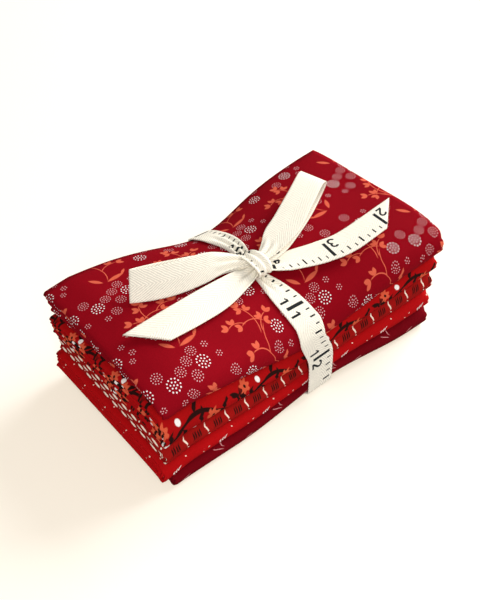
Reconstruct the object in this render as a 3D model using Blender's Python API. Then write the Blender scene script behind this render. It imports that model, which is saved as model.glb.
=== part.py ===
"""A bundle of five fat quarters, folded and stacked, tied with printed twill tape in a bow.

X runs along the long side of the stack, Y across it with the smooth front folds at -Y, and Z is up.
The underside lies at z = 0. Each cut of cotton is folded in thirds and then in half, so its section
is three nested U folds joined at the back: one sheet that goes back and forth six times.
"""

import collections
import math

import bpy
from mathutils import Vector

MM = 0.001

# The stack as it lies
STACK_LENGTH = 144 * MM
STACK_WIDTH = 80 * MM

# Each pass of a packet stands for four plies of cotton
PASS_THICKNESS = 1.30 * MM
PASS_GAP = 0.25 * MM
PACKET_GAP = 0.42 * MM
PASSES = 6
PACKET_HEIGHT = PASSES * PASS_THICKNESS + (PASSES - 1) * PASS_GAP

# How the packets lie, from the bottom up, in mm. The ends are X at the front and at the back, the front
# folds are Y at the left and at the right, and back is Y at the back edge. Slant sets the lowest layers
# in at the left end. Each packet's height is given at its four corners, with the gap over it.
Packet = collections.namedtuple(
    "Packet",
    "name left_front left_back right_front right_back front_left front_right back slant"
    " high_left_front high_left_back high_right_front high_right_back",
)
PACKETS = (
    Packet("packet_5_dark_crimson", -69.2, -64.6, 70.8, 70.4, -40.6, -38.8, 38.2, 0.2, 7.9, 8.2, 11.2, 10.8),
    Packet("packet_4_red_dashes", -73.0, -70.8, 70.4, 70.6, -40.2, -38.6, 38.6, -0.6, 8.8, 8.2, 10.6, 10.6),
    Packet("packet_3_brick_hatch", -72.4, -69.6, 70.8, 70.4, -39.9, -38.5, 38.2, 1.0, 8.4, 10.0, 10.4, 10.4),
    Packet("packet_2_red_berries", -72.6, -71.4, 71.8, 70.8, -40.3, -38.7, 38.7, 1.2, 12.8, 9.8, 9.4, 10.4),
    Packet("packet_1_crimson_sprigs", -73.4, -71.8, 73.0, 71.6, -40.8, -39.6, 39.4, 3.0, 12.2, 13.0, 11.4, 13.4),
)
END_STEP = 0.5 * MM
# At the front left corner the second packet is fuller and the top one thinner
CORNER_FULLER = {"packet_1_crimson_sprigs": -5.5 * MM, "packet_2_red_berries": 5.5 * MM}
EDGE_START = 26 * MM
EDGE_BLEND = 9 * MM

# What the tape does to the stack: how far its pinch reaches, how much it presses each part down, lifts
# the underside and pulls the long edges in. The shoulders are the stack's own rounded long edges.
TIE_X = 1.0 * MM
TOP_REACH = 33 * MM
TOP_DROP = 2.6 * MM
BACK_EDGE_DROP = 6.0 * MM
FRONT_EDGE_DROP = 10.4 * MM
DROP_EASE = 0.6
FRONT_SHOULDER_DROP = 4.4 * MM
BACK_SHOULDER_DROP = 1.5 * MM
UNDERSIDE_X = 11.0 * MM
UNDERSIDE_REACH = 50 * MM
UNDERSIDE_LIFT = 2.0 * MM
UNDERSIDE_EDGE_LIFT = 1.6 * MM
BACK_PULL = 6.8 * MM
FRONT_PULL = 3.6 * MM
LOWER_PULL = 1.8 * MM
RIPPLE = 0.35 * MM
RIPPLE_TURNS = (62.0, 95.0)  # radians in a metre along X and Y
RIPPLE_START = (0.9, 0.4)

# The upper packets reach past the bottom one at the left end and droop there
OVERHANG_X = -61 * MM
LEFT_DROOP = 0.19

# The part's origin is under the middle of the tied bundle
ORIGIN_X = -0.2 * MM
ORIGIN_Y = -0.4 * MM

# The twill tape
TAPE_THICKNESS = 1.0 * MM
TAPE_CLEARANCE = 0.55 * MM
BACK_CORNER = 1.2 * MM
FRONT_CORNER = 3.8 * MM
KNOT_CENTRE = (-3.0 * MM, -7.0 * MM, 4.1 * MM)
KNOT_HALF_SIZES = (4.3 * MM, 7.4 * MM, 3.5 * MM)
KNOT_OVERLAP = 2.0 * MM

# Where the middle of the band runs in X, by its place round the stack, in mm
BAND_TABLE = (
    # place round the stack, x, width
    ("knot, going back", -3.0, 5.0),
    ("top, by the knot", 0.8, 7.4),
    ("top, half way", 0.4, 9.8),
    ("top back edge", 0.1, 10.4),
    ("back face", 0.6, 12.7),
    ("bottom back edge", 2.6, 12.7),
    ("underside", 4.2, 12.7),
    ("bottom front edge", 5.2, 12.7),
    ("front face, low", 5.8, 12.7),
    ("front face, high", 5.4, 12.7),
    ("top front edge", 1.2, 12.7),
    ("top, before the knot", -1.4, 11.0),
    ("knot, coming up", -3.0, 4.4),
)

# The bow. Height is above the top of the stack, heading is the way the width points, tilt its rise.
LEFT_LOOP = (
    # x, y, height, width, heading, tilt
    (-3.0, -5.4, 5.2, 5.0, 84, 0),
    (-12.5, -1.4, 6.4, 7.6, 66, 34),
    (-22.0, 0.4, 6.6, 11.6, 57, 46),
    (-32.6, 2.4, 6.3, 12.7, 53, 48),
    (-42.0, 5.6, 6.2, 12.7, 52, 49),
    (-50.2, 10.4, 6.1, 12.7, 52, 49),
    (-41.4, 8.6, 5.5, 12.7, 53, 46),
    (-31.8, 5.4, 5.1, 12.7, 54, 40),
    (-21.2, 2.8, 4.5, 11.6, 60, 30),
    (-12.0, 0.2, 3.8, 8.0, 72, 14),
    (-3.0, -6.0, 3.2, 5.0, 84, 0),
)
RIGHT_LOOP = (
    (-3.0, -6.4, 5.2, 5.0, 100, 0),
    (3.4, -6.2, 5.8, 6.6, 108, 4),
    (12.0, -3.0, 7.2, 11.6, 108, 3),
    (20.0, -0.2, 8.2, 12.7, 106, 2),
    (33.0, 6.4, 9.6, 12.7, 102, 1),
    (45.0, 13.2, 10.0, 12.7, 102, 0),
    (49.4, 15.6, 6.8, 12.7, 102, 0),
    (44.0, 13.4, 3.2, 12.7, 102, 0),
    (33.0, 7.6, 2.2, 12.7, 104, 0),
    (20.0, 1.4, 2.0, 12.0, 106, 0),
    (10.0, -3.6, 2.4, 9.0, 106, 0),
    (-3.0, -7.0, 3.2, 5.0, 100, 0),
)
LEFT_TAIL = (
    (-3.0, -8.0, 3.4, 5.0, 90, 0),
    (-9.5, -9.6, 3.6, 8.4, 87, 10),
    (-24.3, -12.2, 3.0, 12.0, 87, 18),
    (-40.4, -13.5, 2.8, 12.7, 90, 16),
    (-59.6, -13.4, 1.8, 12.7, 92, 6),
)
RIGHT_TAIL = (
    (-3.0, -8.6, 3.4, 5.0, 90, 0),
    (4.0, -11.0, 2.6, 8.4, 84, 0),
    (13.0, -13.2, 2.2, 11.6, 84, 3),
    (24.0, -17.0, 2.1, 12.7, 82, 3),
    (37.0, -19.5, 2.0, 12.7, 84, 1),
    (60.5, -18.2, 1.8, 12.7, 86, 0),
)
# How far the back edge of a tail's diagonal cut reaches past its middle
TAIL_CUT = {"left": 5.8 * MM, "right": 7.4 * MM}

# How finely the shapes are cut into flat faces
ROWS_MM = (-31, -24, -8, 10, 27)
NEST_STEPS = (6, 5, 3)
TURN_STEPS = 2
STATIONS_MM = (-61, -43, -28, -15, -5, 5, 15, 28, 43, 61)
CORNER_STEPS = 4
CURVE_STEPS = 3

COTTONS = {
    "packet_1_crimson_sprigs": (0.26, 0.006, 0.022),
    "packet_2_red_berries": (0.52, 0.010, 0.010),
    "packet_3_brick_hatch": (0.40, 0.018, 0.010),
    "packet_4_red_dashes": (0.58, 0.008, 0.008),
    "packet_5_dark_crimson": (0.24, 0.004, 0.012),
}
TAPE_COLOUR = (0.80, 0.74, 0.60)


def clear_scene():
    for thing in list(bpy.data.objects):
        bpy.data.objects.remove(thing, do_unlink=True)


def plain_material(name, colour, roughness):
    material = bpy.data.materials.new(name)
    material.use_nodes = True
    shader = material.node_tree.nodes["Principled BSDF"]
    shader.inputs["Base Color"].default_value = (*colour, 1.0)
    shader.inputs["Roughness"].default_value = roughness
    shader.inputs["Metallic"].default_value = 0.0
    return material


def mix(a, b, share):
    return a + (b - a) * share


def along(x):
    """Where an X lies on the stack, from 0 at the left end to 1 at the right."""
    return x / STACK_LENGTH + 0.5


def over_corners(left_front, left_back, right_front, right_back, x, y):
    """Blends four corner values over the stack."""
    share = along(x)
    inward = y / STACK_WIDTH + 0.5
    return mix(mix(left_front, right_front, share), mix(left_back, right_back, share), inward)


def packet_height(packet, x, y):
    """Height of a packet and the gap over it in the loose stack."""
    corner = (1.0 - along(x)) ** 3 * (0.5 - y / STACK_WIDTH) ** 2
    return MM * over_corners(*packet[-4:], x, y) + CORNER_FULLER.get(packet.name, 0.0) * corner


def stack_top(x, y):
    """Height of the stack before the tape draws it in."""
    return sum(packet_height(packet, x, y) for packet in PACKETS) - PACKET_GAP


def drawn_in(x, y, z):
    """Moves a point of the loose stack to where it lies once the tape is tied."""
    level = min(max(z / stack_top(x, y), 0.0), 1.0)
    reach = 1.0 / (1.0 + ((x - TIE_X) / TOP_REACH) ** 2)
    end_reach = 1.0 / (1.0 + (0.5 * STACK_LENGTH / TOP_REACH) ** 2)
    above = max(0.0, (reach - end_reach) / (1.0 - end_reach))
    offset = min(1.0, abs(x - UNDERSIDE_X) / UNDERSIDE_REACH)
    below = math.cos(0.5 * math.pi * offset) ** 2
    across = y / (0.5 * STACK_WIDTH)
    edge_drop = BACK_EDGE_DROP if across > 0 else FRONT_EDGE_DROP
    shoulder_drop = BACK_SHOULDER_DROP if across > 0 else FRONT_SHOULDER_DROP
    drop = above * (TOP_DROP + edge_drop * across**2) + shoulder_drop * across**4
    lowered = level * (1.0 + DROP_EASE * (1.0 - level))
    lift = below * (UNDERSIDE_LIFT + UNDERSIDE_EDGE_LIFT * across**2)
    upper_pull = above * (BACK_PULL if across > 0 else FRONT_PULL)
    pull = mix(below * LOWER_PULL, upper_pull, level)
    wave_x = math.sin(RIPPLE_TURNS[0] * x + RIPPLE_START[0])
    wave_y = math.sin(RIPPLE_TURNS[1] * y + RIPPLE_START[1])
    ripple = RIPPLE * wave_x * wave_y * level
    droop = LEFT_DROOP * max(0.0, OVERHANG_X - x) * min(1.0, z / PACKET_HEIGHT)
    return Vector((
        x - ORIGIN_X,
        y - pull * across * abs(across) - ORIGIN_Y,
        z - drop * lowered + lift * (1.0 - level) + ripple - droop,
    ))


def fold_line():
    """Middle line of one folded sheet in Y and Z, as (y, z, normal y, normal z), from its top back end.

    Three U folds nest at the front and two turns join them at the back. Every run crosses the stack at
    the same places, so that neighbouring layers keep their distance.
    """
    pitch = PASS_THICKNESS + PASS_GAP
    back = 0.5 * STACK_WIDTH
    nest_y = 2.5 * pitch + 0.5 * PASS_THICKNESS - back
    turn_y = back - 0.5 * (pitch + PASS_THICKNESS)
    line = []

    def run(level, side):
        for place in ROWS_MM[:: int(side)]:
            line.append((place * MM, level, 0.0, side))

    def turn(centre_y, centre_z, radius, first, last, steps):
        side = -1.0 if last > first else 1.0
        for step in range(steps + 1):
            angle = math.radians(mix(first, last, step / steps))
            outward = (math.cos(angle), math.sin(angle))
            line.append((
                centre_y + radius * outward[0],
                centre_z + radius * outward[1],
                side * outward[0],
                side * outward[1],
            ))

    line.append((back, 2.5 * pitch, 0.0, -1.0))
    run(2.5 * pitch, -1.0)
    turn(nest_y, 0.0, 2.5 * pitch, 90, 270, NEST_STEPS[0])
    run(-2.5 * pitch, 1.0)
    turn(turn_y, -2.0 * pitch, 0.5 * pitch, -90, 90, TURN_STEPS)
    run(-1.5 * pitch, -1.0)
    turn(nest_y, 0.0, 1.5 * pitch, 270, 90, NEST_STEPS[1])
    run(1.5 * pitch, 1.0)
    turn(turn_y, pitch, 0.5 * pitch, 90, -90, TURN_STEPS)
    run(0.5 * pitch, -1.0)
    turn(nest_y, 0.0, 0.5 * pitch, 90, 270, NEST_STEPS[2])
    run(-0.5 * pitch, 1.0)
    line.append((back - pitch, -0.5 * pitch, 0.0, 1.0))
    return line


def edge_share(distance):
    """How much of an edge's own shift a point has: none in the middle of the stack, all at the edge."""
    return min(max((distance - EDGE_START) / EDGE_BLEND, 0.0), 1.0)


def place_in_stack(packet, station, y, z):
    """A point of a packet's own section to its place in the tied stack.

    The station is an X in mm, or "left" or "right" for the packet's own end.
    """
    inward = y / STACK_WIDTH + 0.5
    level = z / PACKET_HEIGHT + 0.5
    step = END_STEP * math.cos(math.pi * level * PASSES)
    if station == "left":
        end = mix(packet.left_front, packet.left_back, inward) + packet.slant * (1.0 - level)
        x = end * MM + step
    elif station == "right":
        x = mix(packet.right_front, packet.right_back, inward) * MM + step
    else:
        x = station * MM
    front = mix(packet.front_left, packet.front_right, along(x)) * MM + 0.5 * STACK_WIDTH
    back = packet.back * MM - 0.5 * STACK_WIDTH
    y += front * edge_share(-y) + back * edge_share(y)
    below = PACKETS[: PACKETS.index(packet)]
    floor = sum(packet_height(other, x, y) for other in below)
    cloth_height = packet_height(packet, x, y) - PACKET_GAP
    return drawn_in(x, y, floor + level * cloth_height)


def mesh_object(name, points, faces, material):
    mesh = bpy.data.meshes.new(name)
    mesh.from_pydata([tuple(point) for point in points], [], faces)
    mesh.update()
    mesh.materials.append(material)
    mesh.shade_smooth()
    mesh.set_sharp_from_angle(angle=math.radians(40))
    thing = bpy.data.objects.new(name, mesh)
    bpy.context.scene.collection.objects.link(thing)
    return thing


def strip_solid(name, rows, material):
    """A closed solid from cross-sections of four corners each: left, right, right under, left under."""
    points = [corner for row in rows for corner in row]
    faces = [(0, 1, 2, 3)]
    for index in range(len(rows) - 1):
        here = 4 * index
        for side in range(4):
            other = (side + 1) % 4
            faces.append((here + side, here + 4 + side, here + 4 + other, here + other))
    last = 4 * (len(rows) - 1)
    faces.append((last + 3, last + 2, last + 1, last))
    return mesh_object(name, points, faces, material)


def folded_packet(packet):
    """One fat quarter: its section of six passes, drawn out along X and placed in the stack."""
    line = fold_line()
    half = 0.5 * PASS_THICKNESS
    inner = [(y + half * ny, z + half * nz) for y, z, ny, nz in line]
    outer = [(y - half * ny, z - half * nz) for y, z, ny, nz in line]
    outline = outer + inner[::-1]
    count = len(outline)
    stations = ("left", *STATIONS_MM, "right")
    points = [place_in_stack(packet, station, y, z) for station in stations for y, z in outline]
    faces = []
    for station in range(len(stations) - 1):
        here = station * count
        for index in range(count):
            other = (index + 1) % count
            face = (here + index, here + other, here + count + other, here + count + index)
            # Every face is split the same way across the stack, so that neighbours keep their distance
            rising = outline[other][0] > outline[index][0]
            faces.append(face if rising else face[1:] + face[:1])
    last = (len(stations) - 1) * count
    for index in range(len(line) - 1):
        over = count - 1 - index
        faces.append((index, over, over - 1, index + 1))
        faces.append((last + index, last + index + 1, last + over - 1, last + over))
    material = plain_material(packet.name, COTTONS[packet.name], 0.85)
    return mesh_object(packet.name, points, faces, material)


def ribbon_rows(stations):
    """Cross-sections of a tape from (middle, half width vector) stations, and its way along."""
    rows = []
    for index, (middle, half_width) in enumerate(stations):
        before = stations[max(index - 1, 0)][0]
        after = stations[min(index + 1, len(stations) - 1)][0]
        up = (after - before).cross(half_width).normalized() * (0.5 * TAPE_THICKNESS)
        rows.append((
            middle - half_width + up,
            middle + half_width + up,
            middle + half_width - up,
            middle - half_width - up,
        ))
    return rows


def smooth(values, place):
    """Catmull-Rom curve through a list of equally spaced numbers."""
    index = min(int(place), len(values) - 2)
    t = place - index
    a, b, c, d = (values[min(max(index + k, 0), len(values) - 1)] for k in (-1, 0, 1, 2))
    return 0.5 * (2 * b + (c - a) * t + (2 * a - 5 * b + 4 * c - d) * t * t + (3 * b - a - 3 * c + d) * t**3)


def bow_strip(name, table, material, cut=0.0):
    """A loop or a tail of the bow, along the rows of its table. A tail ends in a diagonal cut."""
    columns = list(zip(*table))
    stations = []
    count = (len(table) - 1) * CURVE_STEPS
    for step in range(count + 1):
        x, y, height, width, heading, tilt = (smooth(column, step / CURVE_STEPS) for column in columns)
        heading = math.radians(heading)
        tilt = math.radians(tilt)
        flat = Vector((math.cos(heading), math.sin(heading), 0.0)) * math.cos(tilt)
        across = (flat + Vector((0.0, 0.0, math.sin(tilt)))) * (0.5 * width * MM)
        loose = Vector((x * MM, y * MM, stack_top(x * MM, y * MM) + height * MM))
        stations.append((settle_on_stack(loose), across))
    rows = ribbon_rows(stations)
    if cut:
        onward = (stations[-1][0] - stations[-2][0]).normalized() * cut
        top_left, top_right, under_right, under_left = rows[-1]
        rows[-1] = (top_left - onward, top_right + onward, under_right + onward, under_left - onward)
    return strip_solid(name, rows, material)


def band_path():
    """Middle line of the band round the loose stack, as (x, y, z, width), from the knot round to the knot."""
    out = 0.5 * STACK_WIDTH + TAPE_CLEARANCE + 0.5 * TAPE_THICKNESS
    under = -TAPE_CLEARANCE - 0.5 * TAPE_THICKNESS
    over = stack_top(TIE_X, 0.0) + TAPE_CLEARANCE + 0.5 * TAPE_THICKNESS
    x_values = [row[1] for row in BAND_TABLE]
    widths = [row[2] for row in BAND_TABLE]
    back_start = KNOT_CENTRE[1] + KNOT_OVERLAP
    front_end = KNOT_CENTRE[1] - KNOT_OVERLAP
    back = out - BACK_CORNER
    front = FRONT_CORNER - out
    path = []

    def straight(place, start, end, steps):
        for step in range(steps):
            share = step / steps
            path.append((place[0] + (place[1] - place[0]) * share, mix(start[0], end[0], share),
                         mix(start[1], end[1], share)))

    def corner(place, radius, centre_y, centre_z, first):
        for step in range(CORNER_STEPS):
            angle = math.radians(first - 90 * step / CORNER_STEPS)
            path.append((place, centre_y + radius * math.cos(angle), centre_z + radius * math.sin(angle)))

    straight((0, 3), (back_start, over), (back, over), 5)
    corner(3, BACK_CORNER, back, over - BACK_CORNER, 90)
    straight((3, 5), (out, over - BACK_CORNER), (out, under + BACK_CORNER), 3)
    corner(5, BACK_CORNER, back, under + BACK_CORNER, 0)
    straight((5, 7), (back, under), (front, under), 6)
    corner(7, FRONT_CORNER, front, under + FRONT_CORNER, -90)
    straight((7, 10), (-out, under + FRONT_CORNER), (-out, over - FRONT_CORNER), 9)
    corner(10, FRONT_CORNER, front, over - FRONT_CORNER, 180)
    straight((10, 12), (front, over), (front_end, over), 9)
    path.append((12, front_end, over))
    return [(smooth(x_values, place) * MM, y, z, smooth(widths, place) * MM) for place, y, z in path]


def band_solid(name, material):
    """The band, laid over the loose stack and drawn in with it."""
    path = band_path()
    rows = []
    for index, (x, y, z, width) in enumerate(path):
        before = path[max(index - 1, 0)]
        after = path[min(index + 1, len(path) - 1)]
        way = Vector((0.0, after[1] - before[1], after[2] - before[2]))
        across = Vector((0.5 * width, 0.0, 0.0))
        inward = way.cross(across).normalized() * (0.5 * TAPE_THICKNESS)
        top = stack_top(x, y)
        rise = top - stack_top(TIE_X, 0.0) if z > 0.5 * top else 0.0
        middle = Vector((x, y, z + rise))
        rows.append(tuple(
            settle_on_stack(corner)
            for corner in (
                middle - across - inward,
                middle + across - inward,
                middle + across + inward,
                middle - across + inward,
            )
        ))
    return strip_solid(name, rows[::-1], material)


def settle_on_stack(point):
    """Draws a point on or outside the loose stack in, keeping its clearance from the cloth."""
    top = stack_top(point.x, point.y)
    inside = Vector((point.x, point.y, min(max(point.z, 0.0), top)))
    moved = drawn_in(*inside)
    return moved + Vector((0.0, 0.0, point.z - inside.z))


def knot_solid(name, material):
    """The wrapped knot: a short rounded barrel over the crossing of the tape."""
    rings, sides = 6, 10
    x, y, height = KNOT_CENTRE
    centre = drawn_in(x, y, stack_top(x, y)) + Vector((0.0, 0.0, height))
    points = [centre - Vector((0.0, KNOT_HALF_SIZES[1], 0.0))]
    for ring in range(1, rings):
        lengthwise = math.pi * ring / rings
        reach = math.sin(lengthwise) ** 0.6
        for side in range(sides):
            angle = 2 * math.pi * side / sides
            points.append(centre + Vector((
                KNOT_HALF_SIZES[0] * reach * math.cos(angle),
                -KNOT_HALF_SIZES[1] * math.cos(lengthwise),
                KNOT_HALF_SIZES[2] * reach * math.sin(angle),
            )))
    points.append(centre + Vector((0.0, KNOT_HALF_SIZES[1], 0.0)))
    last = len(points) - 1
    faces = []
    for side in range(sides):
        other = (side + 1) % sides
        faces.append((0, 1 + side, 1 + other))
        for ring in range(rings - 2):
            here = 1 + ring * sides
            faces.append((here + side, here + sides + side, here + sides + other, here + other))
        top = 1 + (rings - 2) * sides
        faces.append((last, top + other, top + side))
    return mesh_object(name, points, faces, material)


def tape_tie():
    """Band, knot, two loops and two tails, joined into the one length of tape that they are."""
    material = plain_material("twill_tape", TAPE_COLOUR, 0.9)
    tie = band_solid("tape_tie", material)
    pieces = [
        knot_solid("tie_knot", material),
        bow_strip("tie_left_loop", LEFT_LOOP, material),
        bow_strip("tie_right_loop", RIGHT_LOOP, material),
        bow_strip("tie_left_tail", LEFT_TAIL, material, TAIL_CUT["left"]),
        bow_strip("tie_right_tail", RIGHT_TAIL, material, TAIL_CUT["right"]),
    ]
    for piece in pieces:
        piece.hide_render = True
        piece.display_type = "WIRE"
        union = tie.modifiers.new("Join " + piece.name, "BOOLEAN")
        union.operation = "UNION"
        union.solver = "MANIFOLD"
        union.object = piece
    return tie


def main():
    clear_scene()
    for packet in PACKETS:
        folded_packet(packet)
    tape_tie()


main()
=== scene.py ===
# %% [markdown]
# # A tied bundle of fat quarters
# Five printed quilting cottons lie folded in a stack, tied round the middle with a printed twill tape.
# The solids of the part are already packed as a frame. This lesson dresses that frame: it makes every
# cloth as the thin folded sheet that it really is, prints and weaves it in nodes, and ties the bow.

# %% Load the frame
import collections
import functools
import math
import random

import bpy
from mathutils import Matrix, Vector, noise


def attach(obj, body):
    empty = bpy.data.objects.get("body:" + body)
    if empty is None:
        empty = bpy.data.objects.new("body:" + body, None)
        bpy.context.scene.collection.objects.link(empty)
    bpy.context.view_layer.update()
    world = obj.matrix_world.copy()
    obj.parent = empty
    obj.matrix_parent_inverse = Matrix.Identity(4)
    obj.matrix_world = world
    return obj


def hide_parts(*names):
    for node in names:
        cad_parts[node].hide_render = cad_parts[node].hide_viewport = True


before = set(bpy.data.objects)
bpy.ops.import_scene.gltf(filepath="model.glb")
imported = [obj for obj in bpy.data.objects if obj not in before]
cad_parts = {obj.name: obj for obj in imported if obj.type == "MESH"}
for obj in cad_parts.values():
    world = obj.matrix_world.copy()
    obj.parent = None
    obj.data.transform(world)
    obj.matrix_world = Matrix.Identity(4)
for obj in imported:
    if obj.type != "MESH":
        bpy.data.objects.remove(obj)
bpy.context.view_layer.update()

MM = 0.001
print("nodes:", sorted(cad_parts))

# %% [markdown]
# ## Camera
# The photo looks down at the bundle from the front left. The camera is placed by its heading, its height
# angle and its distance, and then slid a little to the side and up, which frames the bundle as the photo
# does without turning the view.

# %% Camera
PHOTO_HEIGHT_PIXELS = 600
FOCAL_PIXELS = 930
SENSOR = 36.0
NEAREST_SEEN = 0.01
VIEW_AZIMUTH = math.radians(-39.9)
VIEW_ELEVATION = math.radians(40.2)
VIEW_DISTANCE = 404 * MM
VIEW_SLIDE = (-3.7 * MM, 21.4 * MM)
STACK_ORIGIN = Vector((-0.2 * MM, -0.4 * MM, 0.0))


def linked(name, data):
    """Puts a new object into the scene, at the origin."""
    thing = bpy.data.objects.new(name, data)
    bpy.context.scene.collection.objects.link(thing)
    return thing


def place_camera():
    camera = linked("camera", bpy.data.cameras.new("camera"))
    camera.data.sensor_width = SENSOR
    camera.data.lens = FOCAL_PIXELS * SENSOR / PHOTO_HEIGHT_PIXELS
    camera.data.clip_start = NEAREST_SEEN
    right = Vector((math.cos(VIEW_AZIMUTH), math.sin(VIEW_AZIMUTH), 0.0))
    back = Vector((
        math.sin(VIEW_AZIMUTH) * math.cos(VIEW_ELEVATION),
        -math.cos(VIEW_AZIMUTH) * math.cos(VIEW_ELEVATION),
        math.sin(VIEW_ELEVATION),
    ))
    up = back.cross(right)
    place = back * VIEW_DISTANCE + right * VIEW_SLIDE[0] + up * VIEW_SLIDE[1] - STACK_ORIGIN
    turn = Matrix((right, up, back)).transposed().to_4x4()
    camera.matrix_world = Matrix.Translation(place) @ turn
    bpy.context.scene.camera = camera
    return camera


print("camera stands at", [round(value, 3) for value in place_camera().location])

# %% [markdown]
# ## Studio
# The bundle lies on plain white paper under a large soft light from its right end, which lays a soft warm
# shadow off the left end. A second, weaker light from the left front fills the left end and the long
# front side. The paper is a little brighter to the camera than to the bundle, as in an overexposed
# product picture, so it stays white without washing light back onto the cloth. The plain film response
# keeps the reds deep.

# %% Floor and lights
FLOOR_SIDE = 6.0
FLOOR_GREY = (0.51, 0.51, 0.51, 1.0)
FLOOR_LIFT, LIFT_COLOUR = 0.57, (1.0, 0.86, 0.64, 1.0)
SKY_COLOUR, SKY_STRENGTH = (1.0, 0.98, 0.95, 1.0), 0.24
LAMPS = (
    # name, place and width in metres, power in watts, colour
    ("key_light", (1.20, 0.06, 0.70), 1.10, 33.5, (1.0, 0.985, 0.96)),
    ("fill_light", (-0.45, -0.55, 0.60), 0.50, 5.8, (1.0, 0.98, 0.97)),
)


def new_material(name, **values):
    """A material with nodes, and its shader with some sockets set."""
    material = bpy.data.materials.new(name)
    material.use_nodes = True
    shader = material.node_tree.nodes["Principled BSDF"]
    for socket, value in values.items():
        shader.inputs[socket.replace("_", " ")].default_value = value
    return material, shader


def soft_light(name, place, width, power, colour):
    lamp = bpy.data.lights.new(name, "AREA")
    lamp.shape, lamp.size, lamp.energy, lamp.color = "DISK", width, power, colour
    light = linked(name, lamp)
    light.location = place
    light.rotation_euler = (-Vector(place)).to_track_quat("-Z", "Y").to_euler()


def studio():
    bpy.ops.mesh.primitive_plane_add(size=FLOOR_SIDE)
    floor = bpy.context.object
    floor.name = "floor"
    paper, shader = new_material("white_paper", Base_Color=FLOOR_GREY, Roughness=0.9,
                                 Specular_IOR_Level=0.1, Emission_Color=LIFT_COLOUR)
    nodes, links = paper.node_tree.nodes, paper.node_tree.links
    seen, lift = nodes.new("ShaderNodeLightPath"), nodes.new("ShaderNodeMath")
    lift.operation = "MULTIPLY"
    lift.inputs[1].default_value = FLOOR_LIFT
    links.new(seen.outputs["Is Camera Ray"], lift.inputs[0])
    links.new(lift.outputs[0], shader.inputs["Emission Strength"])
    floor.data.materials.append(paper)
    for lamp in LAMPS:
        soft_light(*lamp)
    world = bpy.data.worlds.new("studio")
    world.use_nodes = True
    sky = world.node_tree.nodes["Background"]
    sky.inputs["Color"].default_value = SKY_COLOUR
    sky.inputs["Strength"].default_value = SKY_STRENGTH
    bpy.context.scene.world = world
    bpy.context.scene.view_settings.view_transform = "Standard"


studio()
print("lights:", [lamp[0] for lamp in LAMPS])

# %% [markdown]
# ## How the stack lies
# Every cotton is folded the same way and then placed by a few rules: four corner heights for each packet,
# then the pinch of the tape, which presses the top down, pulls the long edges in and lifts the underside.
# The same rules place the tape, so the tape always lies on the cloth.

# %% The stack's sizes
STACK_LENGTH = 144 * MM
STACK_WIDTH = 80 * MM
PASSES = 6
PASS_THICKNESS = 1.30 * MM
PASS_PITCH = 1.55 * MM
PACKET_GAP = 0.42 * MM
PACKET_HEIGHT = PASSES * PASS_PITCH - (PASS_PITCH - PASS_THICKNESS)
END_STEP = 0.5 * MM
CORNER_FULLER = {"packet_1_crimson_sprigs": -5.5 * MM, "packet_2_red_berries": 5.5 * MM}
EDGE_START = 26 * MM
EDGE_BLEND = 9 * MM

Packet = collections.namedtuple(
    "Packet",
    "node left_front left_back right_front right_back front_left front_right back slant"
    " high_left_front high_left_back high_right_front high_right_back",
)
PACKETS = [Packet(*row) for row in (
    # node, ends in X, front and back in Y, slant of the left end, heights at the four corners, in mm
    ("packet_5_dark_crimson", -69.2, -64.6, 70.8, 70.4, -40.6, -38.8, 38.2, 0.2, 7.9, 8.2, 11.2, 10.8),
    ("packet_4_red_dashes", -73.0, -70.8, 70.4, 70.6, -40.2, -38.6, 38.6, -0.6, 8.8, 8.2, 10.6, 10.6),
    ("packet_3_brick_hatch", -72.4, -69.6, 70.8, 70.4, -39.9, -38.5, 38.2, 1.0, 8.4, 10.0, 10.4, 10.4),
    ("packet_2_red_berries", -72.6, -71.4, 71.8, 70.8, -40.3, -38.7, 38.7, 1.2, 12.8, 9.8, 9.4, 10.4),
    ("packet_1_crimson_sprigs", -73.4, -71.8, 73.0, 71.6, -40.8, -39.6, 39.4, 3.0, 12.2, 13.0, 11.4, 13.4),
)]
print(len(PACKETS), "packets, one pass", round(PASS_THICKNESS / MM, 2), "mm thick")

# %% [markdown]
# The pinch is one function of the place in the loose stack. It is strongest at the tape and fades towards
# the ends, and it presses the long edges down more than the middle.

# %% The pinch of the tape
TIE_X = 1.0 * MM
TOP_REACH = 33 * MM
TOP_DROP = 2.6 * MM
BACK_EDGE_DROP = 6.0 * MM
FRONT_EDGE_DROP = 10.4 * MM
DROP_EASE = 0.6
FRONT_SHOULDER_DROP = 4.4 * MM
BACK_SHOULDER_DROP = 1.5 * MM
UNDERSIDE_X = 11.0 * MM
UNDERSIDE_REACH = 50 * MM
UNDERSIDE_LIFT = 2.0 * MM
UNDERSIDE_EDGE_LIFT = 1.6 * MM
BACK_PULL = 6.8 * MM
FRONT_PULL = 3.6 * MM
LOWER_PULL = 1.8 * MM
RIPPLE = 0.35 * MM
RIPPLE_TURNS = (62.0, 95.0)
RIPPLE_START = (0.9, 0.4)
OVERHANG_X = -61 * MM
LEFT_DROOP = 0.19
print("the tape lies at x =", round(TIE_X / MM, 1), "mm")

# %% From the loose stack to the tied one
def mix(a, b, share):
    return a + (b - a) * share


def over_corners(left_front, left_back, right_front, right_back, x, y):
    """Blends four corner values over the stack."""
    share = x / STACK_LENGTH + 0.5
    inward = y / STACK_WIDTH + 0.5
    return mix(mix(left_front, right_front, share), mix(left_back, right_back, share), inward)


def packet_height(packet, x, y):
    corner = (0.5 - x / STACK_LENGTH) ** 3 * (0.5 - y / STACK_WIDTH) ** 2
    return MM * over_corners(*packet[-4:], x, y) + CORNER_FULLER.get(packet.node, 0.0) * corner


def stack_top(x, y):
    return sum(packet_height(packet, x, y) for packet in PACKETS) - PACKET_GAP


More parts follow.
